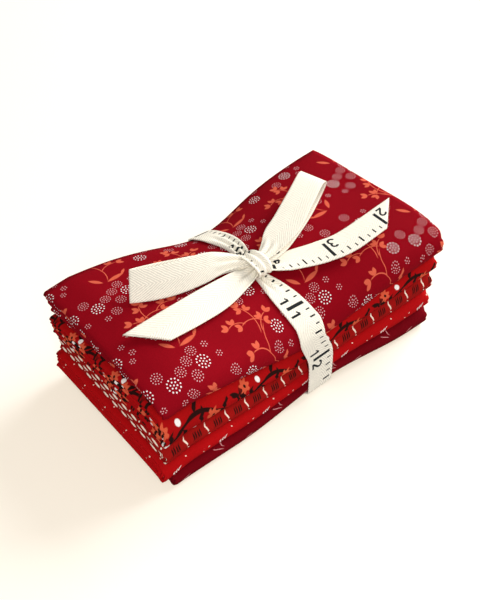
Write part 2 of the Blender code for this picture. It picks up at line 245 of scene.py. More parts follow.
def drawn_in(x, y, z):
    """Moves a point of the loose stack to where it lies once the tape is tied."""
    level = min(max(z / stack_top(x, y), 0.0), 1.0)
    reach = 1.0 / (1.0 + ((x - TIE_X) / TOP_REACH) ** 2)
    end_reach = 1.0 / (1.0 + (0.5 * STACK_LENGTH / TOP_REACH) ** 2)
    above = max(0.0, (reach - end_reach) / (1.0 - end_reach))
    offset = min(1.0, abs(x - UNDERSIDE_X) / UNDERSIDE_REACH)
    below = math.cos(0.5 * math.pi * offset) ** 2
    across = y / (0.5 * STACK_WIDTH)
    edge_drop = BACK_EDGE_DROP if across > 0 else FRONT_EDGE_DROP
    shoulder_drop = BACK_SHOULDER_DROP if across > 0 else FRONT_SHOULDER_DROP
    drop = above * (TOP_DROP + edge_drop * across**2) + shoulder_drop * across**4
    lowered = level * (1.0 + DROP_EASE * (1.0 - level))
    lift = below * (UNDERSIDE_LIFT + UNDERSIDE_EDGE_LIFT * across**2)
    pull = mix(below * LOWER_PULL, above * (BACK_PULL if across > 0 else FRONT_PULL), level)
    wave_x = math.sin(RIPPLE_TURNS[0] * x + RIPPLE_START[0])
    wave_y = math.sin(RIPPLE_TURNS[1] * y + RIPPLE_START[1])
    droop = LEFT_DROOP * max(0.0, OVERHANG_X - x) * min(1.0, z / PACKET_HEIGHT)
    return Vector((
        x,
        y - pull * across * abs(across),
        z - drop * lowered + lift * (1.0 - level) + RIPPLE * wave_x * wave_y * level - droop,
    )) - STACK_ORIGIN


def edge_share(distance):
    """How much of an edge's own shift a point has: none in the middle of the stack, all at the edge."""
    return min(max((distance - EDGE_START) / EDGE_BLEND, 0.0), 1.0)


print("height at the tape:", round(drawn_in(TIE_X, 0, stack_top(TIE_X, 0)).z / MM, 1), "mm")

# %% [markdown]
# ## One folded fat quarter
# A fat quarter is cut 457 by 559 mm. It is folded in half twice along its length, which gives four plies
# with a closed double fold at one end, and then in thirds and in half across, which gives six passes that
# nest in three U folds at the front. So its whole shape follows from two lines: the section across the
# stack, and the path of the four plies along it. A grid over those two lines is the sheet, and the place
# on the grid is the place on the flat cloth, which the print is drawn in.

# %% The section across the stack
ROW_STEP = 3.2 * MM
TURN_STEP = math.radians(15)


def section_line():
    """Middle line of the six passes, from the top back end: (y, z, normal y, normal z)."""
    back = 0.5 * STACK_WIDTH
    nest_y = 2.5 * PASS_PITCH + 0.5 * PASS_THICKNESS - back
    turn_y = back - 0.5 * (PASS_PITCH + PASS_THICKNESS)
    line = []

    def run(start, end, level, side):
        steps = max(2, round(abs(end - start) / ROW_STEP))
        for step in range(1, steps):
            line.append((mix(start, end, step / steps), level, 0.0, side))

    def turn(centre_y, centre_z, radius, first, last):
        side = -1.0 if last > first else 1.0
        steps = max(4, round(math.radians(abs(last - first)) / TURN_STEP * min(1.0, radius / PASS_PITCH)))
        for step in range(steps + 1):
            angle = math.radians(mix(first, last, step / steps))
            away_y, away_z = math.cos(angle), math.sin(angle)
            line.append((centre_y + radius * away_y, centre_z + radius * away_z, side * away_y, side * away_z))

    line.append((back, 2.5 * PASS_PITCH, 0.0, -1.0))
    run(back, nest_y, 2.5 * PASS_PITCH, -1.0)
    turn(nest_y, 0.0, 2.5 * PASS_PITCH, 90, 270)
    run(nest_y, turn_y, -2.5 * PASS_PITCH, 1.0)
    turn(turn_y, -2.0 * PASS_PITCH, 0.5 * PASS_PITCH, -90, 90)
    run(turn_y, nest_y, -1.5 * PASS_PITCH, -1.0)
    turn(nest_y, 0.0, 1.5 * PASS_PITCH, 270, 90)
    run(nest_y, turn_y, 1.5 * PASS_PITCH, 1.0)
    turn(turn_y, PASS_PITCH, 0.5 * PASS_PITCH, 90, -90)
    run(turn_y, nest_y, 0.5 * PASS_PITCH, -1.0)
    turn(nest_y, 0.0, 0.5 * PASS_PITCH, 90, 270)
    run(nest_y, back - PASS_PITCH, -0.5 * PASS_PITCH, 1.0)
    line.append((back - PASS_PITCH, -0.5 * PASS_PITCH, 0.0, 1.0))
    return line


SECTION = section_line()
print("section points:", len(SECTION))

# %% [markdown]
# The plies: going along the cut, the cloth runs from the open right end to the closed left end and back,
# twice. The outer ply turns round the inner one, so each pass ends on the left in a small closed roll.

# %% The path of the four plies
PLY_PITCH = 0.35 * MM
PLY_STEPS = 34
PLY_TURN_STEPS = 6


def ply_path():
    """(share of the way from the left end to the right, bulge past the end, offset across the plies)."""
    path = []

    def run(start, end, offset):
        for step in range(PLY_STEPS):
            path.append((mix(start, end, (step + 0.5) / PLY_STEPS), 0.0, offset))

    def turn(share, way, centre, radius, side):
        for step in range(PLY_TURN_STEPS + 1):
            angle = math.pi * step / PLY_TURN_STEPS
            path.append((share, way * radius * math.sin(angle), centre + side * radius * math.cos(angle)))

    path.append((1.0, 0.0, -1.5 * PLY_PITCH))
    run(1.0, 0.0, -1.5 * PLY_PITCH)
    turn(0.0, -1.0, 0.0, 1.5 * PLY_PITCH, -1.0)
    run(0.0, 1.0, 1.5 * PLY_PITCH)
    turn(1.0, 1.0, PLY_PITCH, 0.5 * PLY_PITCH, 1.0)
    run(1.0, 0.0, 0.5 * PLY_PITCH)
    turn(0.0, -1.0, 0.0, 0.5 * PLY_PITCH, 1.0)
    run(0.0, 1.0, -0.5 * PLY_PITCH)
    path.append((1.0, 0.0, -0.5 * PLY_PITCH))
    return path


PLIES = ply_path()
print("points along the plies:", len(PLIES))

# %% [markdown]
# Placing a point of the sheet: its end is set by the packet's own outline and a small uneven step for each
# pass, its height by the packet's corners, and the pinch does the rest. A little noise gives the top the
# soft unevenness of pressed cotton.

# %% A point of a folded sheet
UNEVEN_END = 0.4 * MM
CREASE_HEIGHT = 0.16 * MM
CREASE_SIZE = 15 * MM
CREASE_STRETCH = 0.6


def sheet_point(packet, uneven, share, bulge, offset, section):
    """Place of one point of a fat quarter in the tied stack."""
    y, z, normal_y, normal_z = section
    y += offset * normal_y
    z += offset * normal_z
    inward = y / STACK_WIDTH + 0.5
    level = z / PACKET_HEIGHT + 0.5
    pass_index = min(max(int(level * PASSES), 0), PASSES - 1)
    step = END_STEP * math.cos(math.pi * level * PASSES)
    left = (mix(packet.left_front, packet.left_back, inward) + packet.slant * (1.0 - level)) * MM
    right = mix(packet.right_front, packet.right_back, inward) * MM
    left += step + uneven[pass_index]
    right += step - uneven[-1 - pass_index]
    x = mix(left, right, share) + bulge
    front = mix(packet.front_left, packet.front_right, x / STACK_LENGTH + 0.5) * MM + 0.5 * STACK_WIDTH
    back = packet.back * MM - 0.5 * STACK_WIDTH
    y += front * edge_share(-y) + back * edge_share(y)
    floor = sum(packet_height(other, x, y) for other in PACKETS[: PACKETS.index(packet)])
    placed = drawn_in(x, y, floor + level * (packet_height(packet, x, y) - PACKET_GAP))
    crease = noise.noise(Vector((x, y * CREASE_STRETCH, floor)) / CREASE_SIZE)
    placed.z += CREASE_HEIGHT * crease * min(1.0, floor / PACKET_HEIGHT)
    return placed


print("unevenness of the top:", round(CREASE_HEIGHT / MM, 2), "mm")

# %% [markdown]
# A cloth and a tape are both grids of points, so they share their helpers: the faces of a grid, the
# running length along a line, and a mesh whose UV map is the place on the flat cloth.

# %% From points to a sheet
CLOTH_MAP, TAPE_MAP = "cloth", "tape"


def grid_faces(rows, columns, first=0):
    """Faces of a grid of points, counted row by row."""
    corners = (0, 1, columns + 1, columns)
    return [tuple(first + row * columns + column + corner for corner in corners)
            for row in range(rows - 1) for column in range(columns - 1)]


def distances(points):
    """Running length along a list of points."""
    total = [0.0]
    for before, after in zip(points, points[1:]):
        total.append(total[-1] + (after - before).length)
    return total


def sheet_of(name, points, faces, uv_map, places, thickness):
    """A smooth sheet with its thickness, and each point's place on the flat cloth as its UV map."""
    mesh = bpy.data.meshes.new(name)
    mesh.from_pydata(points, [], faces)
    layer = mesh.uv_layers.new(name=uv_map)
    for loop in mesh.loops:
        layer.data[loop.index].uv = places[loop.vertex_index]
    mesh.shade_smooth()
    sheet = linked(name, mesh)
    solid = sheet.modifiers.new("Thickness", "SOLIDIFY")
    solid.thickness, solid.offset = thickness, 0.0
    return sheet


print("faces of a 3 by 3 grid:", len(grid_faces(3, 3)))

# %% Fold the five cottons
CLOTH_THICKNESS = 0.25 * MM
FIRST_SHEET_SEED = 3


def folded_sheet(packet, seed):
    """The whole fat quarter as one thin sheet."""
    draw = random.Random(seed)
    uneven = [draw.uniform(0.0, UNEVEN_END) for _ in range(PASSES)]
    rows = [[sheet_point(packet, uneven, *ply, section) for ply in PLIES] for section in SECTION]
    along = distances(rows[0])
    down = distances([row[len(PLIES) // 2] for row in rows])
    points = [point for row in rows for point in row]
    faces = grid_faces(len(rows), len(PLIES))
    places = [(x, y) for y in down for x in along]
    return sheet_of(packet.node + "_cloth", points, faces, CLOTH_MAP, places, CLOTH_THICKNESS)


SHEETS = {
    packet.node: folded_sheet(packet, number + FIRST_SHEET_SEED)
    for number, packet in enumerate(PACKETS)
}
print("faces:", {node: len(sheet.data.polygons) for node, sheet in SHEETS.items()})

# %% [markdown]
# ## Drawing a print with nodes
# A cotton print is ink in flat colours on the cloth, so each one is drawn in shader nodes on the sheet's
# own UV map, in millimetres of flat cloth. That takes hundreds of nodes, so one class adds a node, links
# or sets its inputs and hands back its output. The commonest operations have short names of their own.

# %% Short ways to add nodes
def rgba(colour, gain=1.0):
    return (*[gain * value for value in colour], 1.0)


class Wiring:
    """Adds nodes to one tree. Each call returns the socket that it made."""

    def __init__(self, tree):
        self.tree = tree

    def feed(self, node, *values):
        """Links or sets inputs of a node, given as (input, socket or value)."""
        for place, value in values:
            if isinstance(value, bpy.types.NodeSocket):
                self.tree.links.new(value, node.inputs[place])
            else:
                node.inputs[place].default_value = value

    def put(self, kind, *values, out=0, **settings):
        node = self.tree.nodes.new(kind if "Node" in kind else "ShaderNode" + kind)
        for name, value in settings.items():
            setattr(node, name, value)
        self.feed(node, *values)
        return node.outputs[out]

    def math(self, operation, *values, clamp=False):
        return self.put("Math", *enumerate(values), operation=operation, use_clamp=clamp)

    def vector(self, operation, *values, out=0):
        return self.put("VectorMath", *enumerate(values), out=out, operation=operation)

    def length(self, place):
        return self.vector("LENGTH", place, out=1)

    def scaled(self, place, factor):
        return self.put("VectorMath", (0, place), (3, factor), operation="SCALE")

    def noise(self, place, scale, detail):
        return self.put("TexNoise", (0, place), (2, scale), (3, detail))

    def blend(self, share, first, second):
        return self.put("Mix", (0, share), (6, first), (7, second), out=2, data_type="RGBA")

    def split(self, place):
        node = self.tree.nodes.new("ShaderNodeSeparateXYZ")
        self.tree.links.new(place, node.inputs[0])
        return node.outputs[0], node.outputs[1], node.outputs[2]

    def group(self, group, **values):
        node = self.tree.nodes.new("ShaderNodeGroup")
        node.node_tree = group
        self.feed(node, *[(name.replace("_", " "), value) for name, value in values.items()])
        return node.outputs


SHORT_NAMES = {
    "plus": "ADD", "minus": "SUBTRACT", "times": "MULTIPLY", "over": "DIVIDE", "linear": "MULTIPLY_ADD",
    "size": "ABSOLUTE", "sine": "SINE", "least": "MINIMUM", "most": "MAXIMUM", "below": "LESS_THAN",
    "above": "GREATER_THAN",
}
for short, operation in SHORT_NAMES.items():
    setattr(Wiring, short, functools.partialmethod(Wiring.math, operation))
print("operations with short names:", len(SHORT_NAMES))

# %% [markdown]
# A mark of the print is a distance that is 1 on its edge: an oval, a petal, a bar, part of a ring or a
# wavy branch. The nearest of all marks wins, so a whole drawing is one long chain of minimums.

# %% Marks of a print
class Drawing(Wiring):
    """Marks on flat cloth. Each gives the distance from its middle, 1 on its edge."""

    def wrapped(self, place, centre, repeat):
        """A place seen from the nearest copy of a centre that repeats over the cloth."""
        half = (0.5 * repeat[0], 0.5 * repeat[1], 1.0)
        minus = tuple(-value for value in half)
        return self.vector("WRAP", self.vector("SUBTRACT", place, (*centre, 0.0)), half, minus)

    def local(self, place, x, y, turn, reach, half_width):
        return self.put("Mapping", (0, place), (1, (x, y, 0.0)), (2, (0.0, 0.0, math.radians(turn))),
                        (3, (reach, half_width, 1.0)), vector_type="TEXTURE")

    def oval(self, place, x, y, turn, length, width):
        return self.length(self.local(place, x, y, turn, 0.5 * length, 0.5 * width))

    def petal(self, place, x, y, turn, length, width):
        along, across, _ = self.split(self.local(place, x, y, turn, 0.5 * length, 0.5 * width))
        return self.linear(along, along, self.size(across))

    def bar(self, place, x, y, turn, length, width):
        along, across, _ = self.split(self.local(place, x, y, turn, 0.5 * length, 0.5 * width))
        return self.most(self.size(along), self.size(across))

    def ring(self, place, x, y, middle, radius, width, spread, flat=1.0):
        """Part of a ring, from the middle angle to the spread on either side of it, in degrees."""
        seen = self.local(place, x, y, middle, radius * flat, radius)
        along, across, _ = self.split(seen)
        off = self.size(self.minus(self.length(seen), 1.0))
        thick = self.times(off, 2.0 * radius / width)
        if spread >= 180:
            return thick
        angle = self.size(self.math("ARCTAN2", across, along))
        return self.most(thick, self.over(angle, math.radians(spread)))

    def branch(self, place, y, height, start, width, repeat):
        """A wavy line along the cloth that joins its next copy."""
        along, up, _ = self.split(place)
        turn = self.linear(along, 2.0 * math.pi / repeat, start)
        wave = self.linear(self.sine(turn), height, y)
        return self.times(self.size(self.minus(up, wave)), 2.0 / width)

    def nearest(self, place, marks):
        """Distance to the nearest of the marks in a table, 1 on its edge."""
        reached = None
        for kind, *sizes in marks:
            here = getattr(self, kind)(place, *sizes)
            reached = here if reached is None else self.least(reached, here)
        return reached

    def ink(self, distance, sharpness=3.0):
        """Turns a distance into ink: full inside, none outside, with a slightly bled edge."""
        return self.times(self.minus(1.0, distance), sharpness, clamp=True)


print("marks:", [name for name in ("oval", "petal", "bar", "ring", "branch") if hasattr(Drawing, name)])

# %% Node groups
def new_group(name, inputs, outputs, kind="ShaderNodeTree"):
    """An empty node group with its sockets, and the Drawing that fills it."""
    group = bpy.data.node_groups.new(name, kind)
    for label, sort, value in inputs:
        socket = group.interface.new_socket(label, in_out="INPUT", socket_type="NodeSocket" + sort)
        if value is not None:
            socket.default_value = value
    for label, sort in outputs:
        group.interface.new_socket(label, in_out="OUTPUT", socket_type="NodeSocket" + sort)
    entry = group.nodes.new("NodeGroupInput")
    return group, Drawing(group), entry.outputs


def close_group(drawing, *results):
    drawing.feed(drawing.tree.nodes.new("NodeGroupOutput"), *enumerate(results))


print("groups so far:", len(bpy.data.node_groups))

# %% [markdown]
# ## Weave of the cottons
# Quilting cotton is a plain weave of about thirty threads in each centimetre. All five prints are on the
# same cloth, so the weave is one shared group. It gives a height for the bump and a painted shade that
# darkens the colour in the gaps between threads, with thicker slub threads here and there that it paints a
# little lighter or darker.

# %% The plain weave group
THREADS_PER_MM = 2.9
SLUB_STRETCH = (2.6, 0.09, 1.0)
# The weave's painted shade: how strongly height shades the colour, and the painted shade of a gap between
# threads.
WEAVE_PAINTED_SHADE = (0.16, 0.87)  # contrast, and the shade of a gap


def plain_weave_group():
    group, draw, given = new_group(
        "plain weave",
        [("Place", "Vector", None), ("Threads per mm", "Float", THREADS_PER_MM), ("Slubs", "Float", 0.5)],
        [("Height", "Float"), ("Shade", "Float")],
    )
    threads = draw.scaled(given["Place"], given["Threads per mm"])
    x, y, _ = draw.split(threads)
    hill_x = draw.sine(draw.times(draw.math("FRACT", x), math.pi))
    hill_y = draw.sine(draw.times(draw.math("FRACT", y), math.pi))
    crossing = draw.plus(draw.math("FLOOR", x), draw.math("FLOOR", y))
    over = draw.above(draw.math("FRACT", draw.times(crossing, 0.5)), 0.25)
    weave = draw.put("Mix", (0, over), (2, hill_x), (3, hill_y))
    long_threads = draw.vector("MULTIPLY", given["Place"], SLUB_STRETCH)
    slub = draw.noise(long_threads, 1.0, 1.0)
    slub = draw.times(draw.minus(slub, 0.5), given["Slubs"])
    height = draw.plus(weave, slub)
    # Painted shade: the colour darkens in the gaps between threads, where the weave is low.
    shade = draw.linear(height, *WEAVE_PAINTED_SHADE)
    close_group(draw, height, shade)
    return group


PLAIN_WEAVE = plain_weave_group()
print("plain weave nodes:", len(PLAIN_WEAVE.nodes))

# %% [markdown]
# ## Motifs
# The top cotton has small dotted rosettes and upright sprigs. A rosette is rings of dots: the ring number
# and the place round the ring are rounded, and what is left over is the distance to the nearest dot. So
# one short group draws every dot of every rosette.

# %% The dotted rosette group
DOT_RADIUS = 0.28
FIRST_RING_DOTS = 6.0
DOT_SPACING = 1.047
RINGS = 2.4
FEW_RINGS = 1.4
FAR_OFF = 9.0


def rosette_group():
    group, draw, given = new_group(
        "dotted rosette", [("Place", "Vector", None), ("Rings", "Float", RINGS)], [("Distance", "Float")]
    )
    x, y, _ = draw.split(given["Place"])
    flat = draw.vector("MULTIPLY", given["Place"], (1.0, 1.0, 0.0))
    out = draw.length(flat)
    ring = draw.math("ROUND", out)
    turns = draw.over(draw.math("ARCTAN2", y, x), 2.0 * math.pi)
    around = draw.math("FRACT", draw.times(draw.times(turns, FIRST_RING_DOTS), ring))
    aside = draw.times(draw.minus(around, 0.5), DOT_SPACING)
    off = draw.put("CombineXYZ", (0, aside), (1, draw.minus(out, ring)))
    dot = draw.least(draw.length(off), out)
    beyond = draw.above(out, given["Rings"])
    close_group(draw, draw.plus(draw.over(dot, DOT_RADIUS), draw.times(beyond, FAR_OFF)))
    return group


ROSETTE = rosette_group()
print("rosette nodes:", len(ROSETTE.nodes))

# %% [markdown]
# The sprig is a bent main stem with side stems that end in small flowers of two petals, and long
# leaves near its foot. Its drawing is a table of marks in millimetres, so it is easy to read and change.

# %% The sprig group
STEM_WIDTH = 0.32
BLOOM_SPREAD = 27
PETAL_WIDTH = 0.58


def bloom(x, y, heading, length):
    """Two petals that fan out from one point, as table rows."""
    rows = []
    for turn in (heading - BLOOM_SPREAD, heading + BLOOM_SPREAD):
        out_x, out_y = 0.5 * length * math.cos(math.radians(turn)), 0.5 * length * math.sin(math.radians(turn))
        rows.append(("petal", x + out_x, y + out_y, turn, length, PETAL_WIDTH * length))
    return rows


SPRIG_STEMS = [("ring", *place, radius, STEM_WIDTH, spread) for *place, radius, spread in (
    # x, y, middle angle, radius, spread
    (-7.2, -7.0, 24, 9.6, 42), (6.3, 7.4, 196, 9.2, 33), (1.6, -0.6, 118, 6.2, 38),
    (-6.2, -3.4, 66, 6.6, 30), (7.4, -6.6, 126, 6.0, 34), (5.2, 3.6, 118, 4.4, 42),
)]
SPRIG_BLOOMS = [petal for place in (
    # x, y, heading, length
    (-2.5, 10.0, 106, 2.6), (-3.0, 7.9, 168, 2.4), (-2.4, 8.7, 34, 2.4), (2.7, 5.4, 28, 2.4),
    (-4.0, 1.9, 212, 2.4), (-6.8, 3.0, 158, 2.6), (-4.3, 2.9, 84, 2.4), (6.2, 7.8, 58, 2.6),
    (4.3, 7.9, 124, 2.4), (7.1, -0.7, 8, 2.6), (5.1, -1.1, 106, 2.4),
) for petal in bloom(*place)]
SPRIG_LEAVES = [("petal", 4.6, -9.0, 24, 6.6, 1.7), ("petal", -1.4, -8.8, 140, 5.0, 1.5),
                ("petal", 7.4, -6.9, 58, 3.2, 1.0)]
SPRIG_MARKS = SPRIG_STEMS + SPRIG_BLOOMS + SPRIG_LEAVES


def sprig_group():
    group, draw, given = new_group("sprig", [("Place", "Vector", None)], [("Distance", "Float")])
    close_group(draw, draw.nearest(given["Place"], SPRIG_MARKS))
    return group


SPRIG = sprig_group()
print("sprig marks:", len(SPRIG_MARKS))

# %% [markdown]
# ## The five cottons
# Each material draws its motifs over its ground colour, multiplies in the weave's painted shade and a faint
# mottle, and gives the weave's height to a bump. Cotton has hardly any gloss, so the shader's specular
# level is low and its roughness high. The map runs from the right raw edge and the back, so it is turned
# half round to let the motifs stand upright from the front.

# %% What all cottons share
COTTON_ROUGHNESS = 0.93
COTTON_SPECULAR = 0.02
COTTON_BUMP, COTTON_RELIEF = 0.35, 0.08 * MM
MOTTLE_SCALE, MOTTLE = 0.045, 0.14
THREAD_GLOSS = -0.08
UPRIGHT = -1000.0


def cotton(name, ground, print_on):
    """A cotton material. print_on(drawing, place) returns (ink share, ink colour) pairs in printing order."""
    material, shader = new_material(name, Specular_IOR_Level=COTTON_SPECULAR)
    draw = Drawing(material.node_tree)
    place = draw.scaled(draw.put("UVMap", uv_map=CLOTH_MAP), UPRIGHT)
    mottle = draw.noise(place, MOTTLE_SCALE, 3.0)
    colour = draw.blend(mottle, rgba(ground, 1.0 - MOTTLE), rgba(ground, 1.0 + MOTTLE))
    for share, ink in print_on(draw, place):
        colour = draw.blend(share, colour, rgba(ink))
    weave = draw.group(PLAIN_WEAVE, Place=place, Slubs=0.5)
    # The weave's painted shade darkens the colour in the gaps between threads.
    colour = draw.scaled(colour, weave["Shade"])
    rough = draw.linear(weave["Height"], THREAD_GLOSS, COTTON_ROUGHNESS)
    bump = draw.put("Bump", (0, COTTON_BUMP), (1, COTTON_RELIEF), (3, weave["Height"]))
    draw.feed(shader, ("Base Color", colour), ("Roughness", rough), ("Normal", bump))
    return material


print("cotton roughness:", COTTON_ROUGHNESS)

# %% [markdown]
# Deep crimson with sprigs and rosettes: every second sprig is mirrored and set half a repeat on, which is
# the common half-drop layout. The rosettes stand in loose groups between the sprigs, the large ones white
# and the rest a muted pink.

# %% Layout of the crimson print
SPRIG_REPEAT = (62.0, 48.0)
SPRIG_SCALE = 1.35
SPRIG_LEAN, MIRRORED_LEAN = -14, 22
CORAL = (0.62, 0.105, 0.058)
WHITE_INK = (0.86, 0.80, 0.80)
PINK_INK = (0.64, 0.36, 0.38)
FAINT, MUTED, BRIGHT = 0.45, 0.6, 1.0
ROSETTES = [(x, y, spacing, strength) for spacing, strength, *places in (
    # distance between rings, strength of the ink, then the places in the repeat
    (1.22, BRIGHT, (38.8, 43.1), (18.6, 41.9), (49.4, 22.5), (18.8, 13.4), (2.2, 24.7), (39.0, 24.7)),
    (0.98, MUTED, (22.9, 0.2), (31.6, 40.7), (35.3, 18.1), (54.1, 16.5), (12.3, 17.4), (59.0, 21.3),
     (46.1, 27.9), (35.6, 1.9)),
    (0.95, MUTED, (20.0, 7.2), (0.9, 30.2), (58.8, 27.5), (54.4, 25.1)),
    (1.10, FAINT, (7.0, 30.1), (49.4, 15.1), (13.3, 11.9), (46.4, 43.0), (14.1, 6.0)),
    (1.02, FAINT, (23.5, 12.1), (41.8, 17.8), (44.7, 47.8), (9.6, 24.7), (44.2, 39.6)),
) for x, y in places]
print("rosettes in a repeat:", len(ROSETTES))

# %% Crimson with sprigs
def crimson_sprigs(draw, place):
    upright = draw.wrapped(place, (0.0, 0.0), SPRIG_REPEAT)
    upright = draw.local(upright, 0.0, 0.0, SPRIG_LEAN, SPRIG_SCALE, SPRIG_SCALE)
    mirrored = draw.wrapped(place, (0.5 * SPRIG_REPEAT[0], 0.5 * SPRIG_REPEAT[1]), SPRIG_REPEAT)
    mirrored = draw.local(mirrored, 0.0, 0.0, MIRRORED_LEAN, -SPRIG_SCALE, SPRIG_SCALE)
    nearer = draw.below(draw.length(mirrored), draw.length(upright))
    spot = draw.put("Mix", (0, nearer), (4, upright), (5, mirrored), out=1, data_type="VECTOR")
    sprig = draw.ink(draw.group(SPRIG, Place=spot)["Distance"], 4.0)
    best, best_out = None, None
    for x, y, spacing, strength in ROSETTES:
        seen = draw.scaled(draw.wrapped(place, (x, y), SPRIG_REPEAT), 1.0 / spacing)
        out = draw.length(seen)
        seen = draw.vector("MULTIPLY_ADD", seen, (1.0, 1.0, 0.0), (0.0, 0.0, strength))
        if best is None:
            best, best_out = seen, out
            continue
        closer = draw.below(out, best_out)
        best = draw.put("Mix", (0, closer), (4, best), (5, seen), out=1, data_type="VECTOR")
        best_out = draw.least(best_out, out)
    strength = draw.split(best)[2]
    few = draw.below(strength, 0.5 * (FAINT + MUTED))
    rings = draw.linear(few, FEW_RINGS - RINGS, RINGS)
    dots = draw.ink(draw.group(ROSETTE, Place=best, Rings=rings)["Distance"])
    white = draw.above(strength, 0.5 * (MUTED + BRIGHT))
    pink_share = draw.times(dots, draw.minus(1.0, white))
    return [(pink_share, PINK_INK), (draw.times(dots, white), WHITE_INK), (sprig, CORAL)]


CRIMSON_SPRIGS = cotton("crimson_sprigs_cotton", (0.235, 0.0022, 0.0075), crimson_sprigs)
print("crimson sprigs nodes:", len(CRIMSON_SPRIGS.node_tree.nodes))

# %% [markdown]
# Bright red with flowers and berries: dark stems and leaves, open coral flowers with a dark eye, and
# plump white berries. A flower's petals come from a wave round its edge.

# %% Stems, leaves and berries
BERRY_REPEAT = (38.0, 30.0)
DARK_INK = (0.022, 0.006, 0.005)
WARM_CORAL = (0.68, 0.10, 0.045)
BERRY_WHITE = (0.93, 0.89, 0.84)
LEAF_TURN, LEAF_LENGTH, LEAF_WIDTH = 58, 4.8, 2.1
LEAF_ON, LEAF_OUT = 1.1, 2.1


def leafy_branch(y, height, start, width, every=6.4):
    """A wavy branch with a leaf on alternate sides of it, as table rows."""
    rows = [("branch", y, height, start, width, BERRY_REPEAT[0])]
    for step in range(6):
        x, side = every * (step - 2.5), (-1) ** step
        wave = y + height * math.sin(2.0 * math.pi * x / BERRY_REPEAT[0] + start)
        rows.append(("petal", x + LEAF_ON, wave + LEAF_OUT * side, LEAF_TURN * side, LEAF_LENGTH, LEAF_WIDTH))
    return rows


BERRY_STEMS = leafy_branch(-10.5, 3.0, 0.4, 1.5) + leafy_branch(9.5, 2.8, 4.0, 1.5) + [
    ("branch", -1.0, 2.6, 2.2, 1.2, 0.5 * BERRY_REPEAT[0]),
    ("ring", 0.0, -3.0, 60, 9.0, 1.3, 80),
    ("ring", 12.0, 8.0, 205, 8.0, 1.2, 75),
    ("ring", -10.0, 6.0, 320, 7.0, 1.2, 75),
    ("ring", 6.0, -11.0, 120, 6.5, 1.1, 70),
    ("ring", -14.0, -8.0, 60, 6.0, 1.1, 70),
] + [("petal", *leaf) for leaf in (
    # x, y, turn, length, width
    (6.5, 9.5, 100, 7.0, 3.2), (-2.0, -12.0, 10, 6.6, 3.0), (-9.0, 1.0, 150, 6.4, 3.0),
    (-4.0, -9.0, 35, 6.0, 2.4), (9.0, 3.0, 130, 5.6, 2.2), (-13.0, 11.0, 70, 5.8, 2.3),
    (13.0, -7.0, 15, 5.4, 2.1), (2.5, 11.5, 160, 5.2, 2.0), (-15.0, -3.5, 110, 5.0, 2.0),
)]
BERRIES = [
    ("oval", x, y, 20, 2.5, 2.3)
    for x, y in ((6.6, 6.6), (9.2, 7.6), (-8.0, -4.6), (-6.0, -2.8), (16.5, 2.0), (-16.0, 7.0), (0.5, -12.5),
                 (11.5, -12.0), (-3.5, 4.5), (14.8, 12.8))
]
print("stems and leaves:", len(BERRY_STEMS), "berries:", len(BERRIES))

# %% Bright red with berries
FLOWERS = ((-8.0, 8.6, 3.6), (3.6, -3.4, 3.4), (14.6, -2.6, 3.0), (-12.0, -10.4, 3.3), (8.0, 12.6, 2.9),
           (7.2, 5.2, 3.0), (-16.4, 3.4, 2.9))
FLOWER_PETALS = 7.0
PETAL_WAVE, PETAL_MIDDLE, EYE_SIZE = 0.17, 0.80, 0.22


def open_flowers(draw, place, centres, repeat):
    """Distance to the nearest jagged flower, and to its eye."""
    flower, eye = None, None
    for x, y, radius in centres:
        seen = draw.wrapped(place, (x, y), repeat)
        along, across, _ = draw.split(seen)
        angle = draw.times(draw.math("ARCTAN2", across, along), FLOWER_PETALS)
        edge = draw.linear(draw.sine(angle), PETAL_WAVE * radius, PETAL_MIDDLE * radius)
        out = draw.length(seen)
        here = draw.over(out, edge)
        middle = draw.over(out, EYE_SIZE * radius)
        flower = here if flower is None else draw.least(flower, here)
        eye = middle if eye is None else draw.least(eye, middle)
    return flower, eye


def red_berries(draw, place):
    tile = draw.wrapped(place, (0.0, 0.0), BERRY_REPEAT)
    stems = draw.ink(draw.nearest(tile, BERRY_STEMS), 3.0)
    flower, eye = open_flowers(draw, place, FLOWERS, BERRY_REPEAT)
    berries = draw.ink(draw.nearest(tile, BERRIES), 4.0)
    return [(stems, DARK_INK), (draw.ink(flower, 5.0), WARM_CORAL), (draw.ink(eye, 3.0), DARK_INK),
            (berries, BERRY_WHITE)]


RED_BERRIES = cotton("red_berries_cotton", (0.39, 0.0045, 0.0055), red_berries)
print("red berries nodes:", len(RED_BERRIES.node_tree.nodes))

# %% [markdown]
# The three quieter prints repeat every few millimetres: slanted dark hatching with a light fleck on brick
# red, groups of short white strokes and dots on bright red, and scattered pale needles on dark crimson.
# Each is a few tables of marks, so one function makes them all. The hatching's flecks come round just so
# often that a column of them lies on each left fold.

# %% Brick red with hatching
def print_of(repeat, *layers):
    """A print that repeats. Each layer is its centre, its marks, the sharpness and the ink."""

    def print_on(draw, place):
        return [(draw.ink(draw.nearest(draw.wrapped(place, centre, repeat), marks), sharpness), ink)
                for centre, marks, sharpness, ink in layers]

    return print_on


HATCH_REPEAT = (9.724, 6.4)
FLECK_COLUMN = -5.16
HATCH_STROKES = [("oval", x, y, 66, 4.4, 0.72) for x, y in ((-1.2, 0.1), (-0.2, 0.3), (0.8, 0.0), (1.8, 0.2))]
FLECKS = [("oval", 0.0, 0.6, 88, 4.4, 0.8), ("oval", 0.5, -2.5, 0, 0.8, 0.8)]
BRICK_HATCH = cotton("brick_hatch_cotton", (0.31, 0.007, 0.006), print_of(
    HATCH_REPEAT,
    ((FLECK_COLUMN + 0.5 * HATCH_REPEAT[0], 0.0), HATCH_STROKES, 3.0, (0.040, 0.006, 0.005)),
    ((FLECK_COLUMN, 0.0), FLECKS, 3.0, (0.92, 0.76, 0.62)),
))
print("brick hatch nodes:", len(BRICK_HATCH.node_tree.nodes))

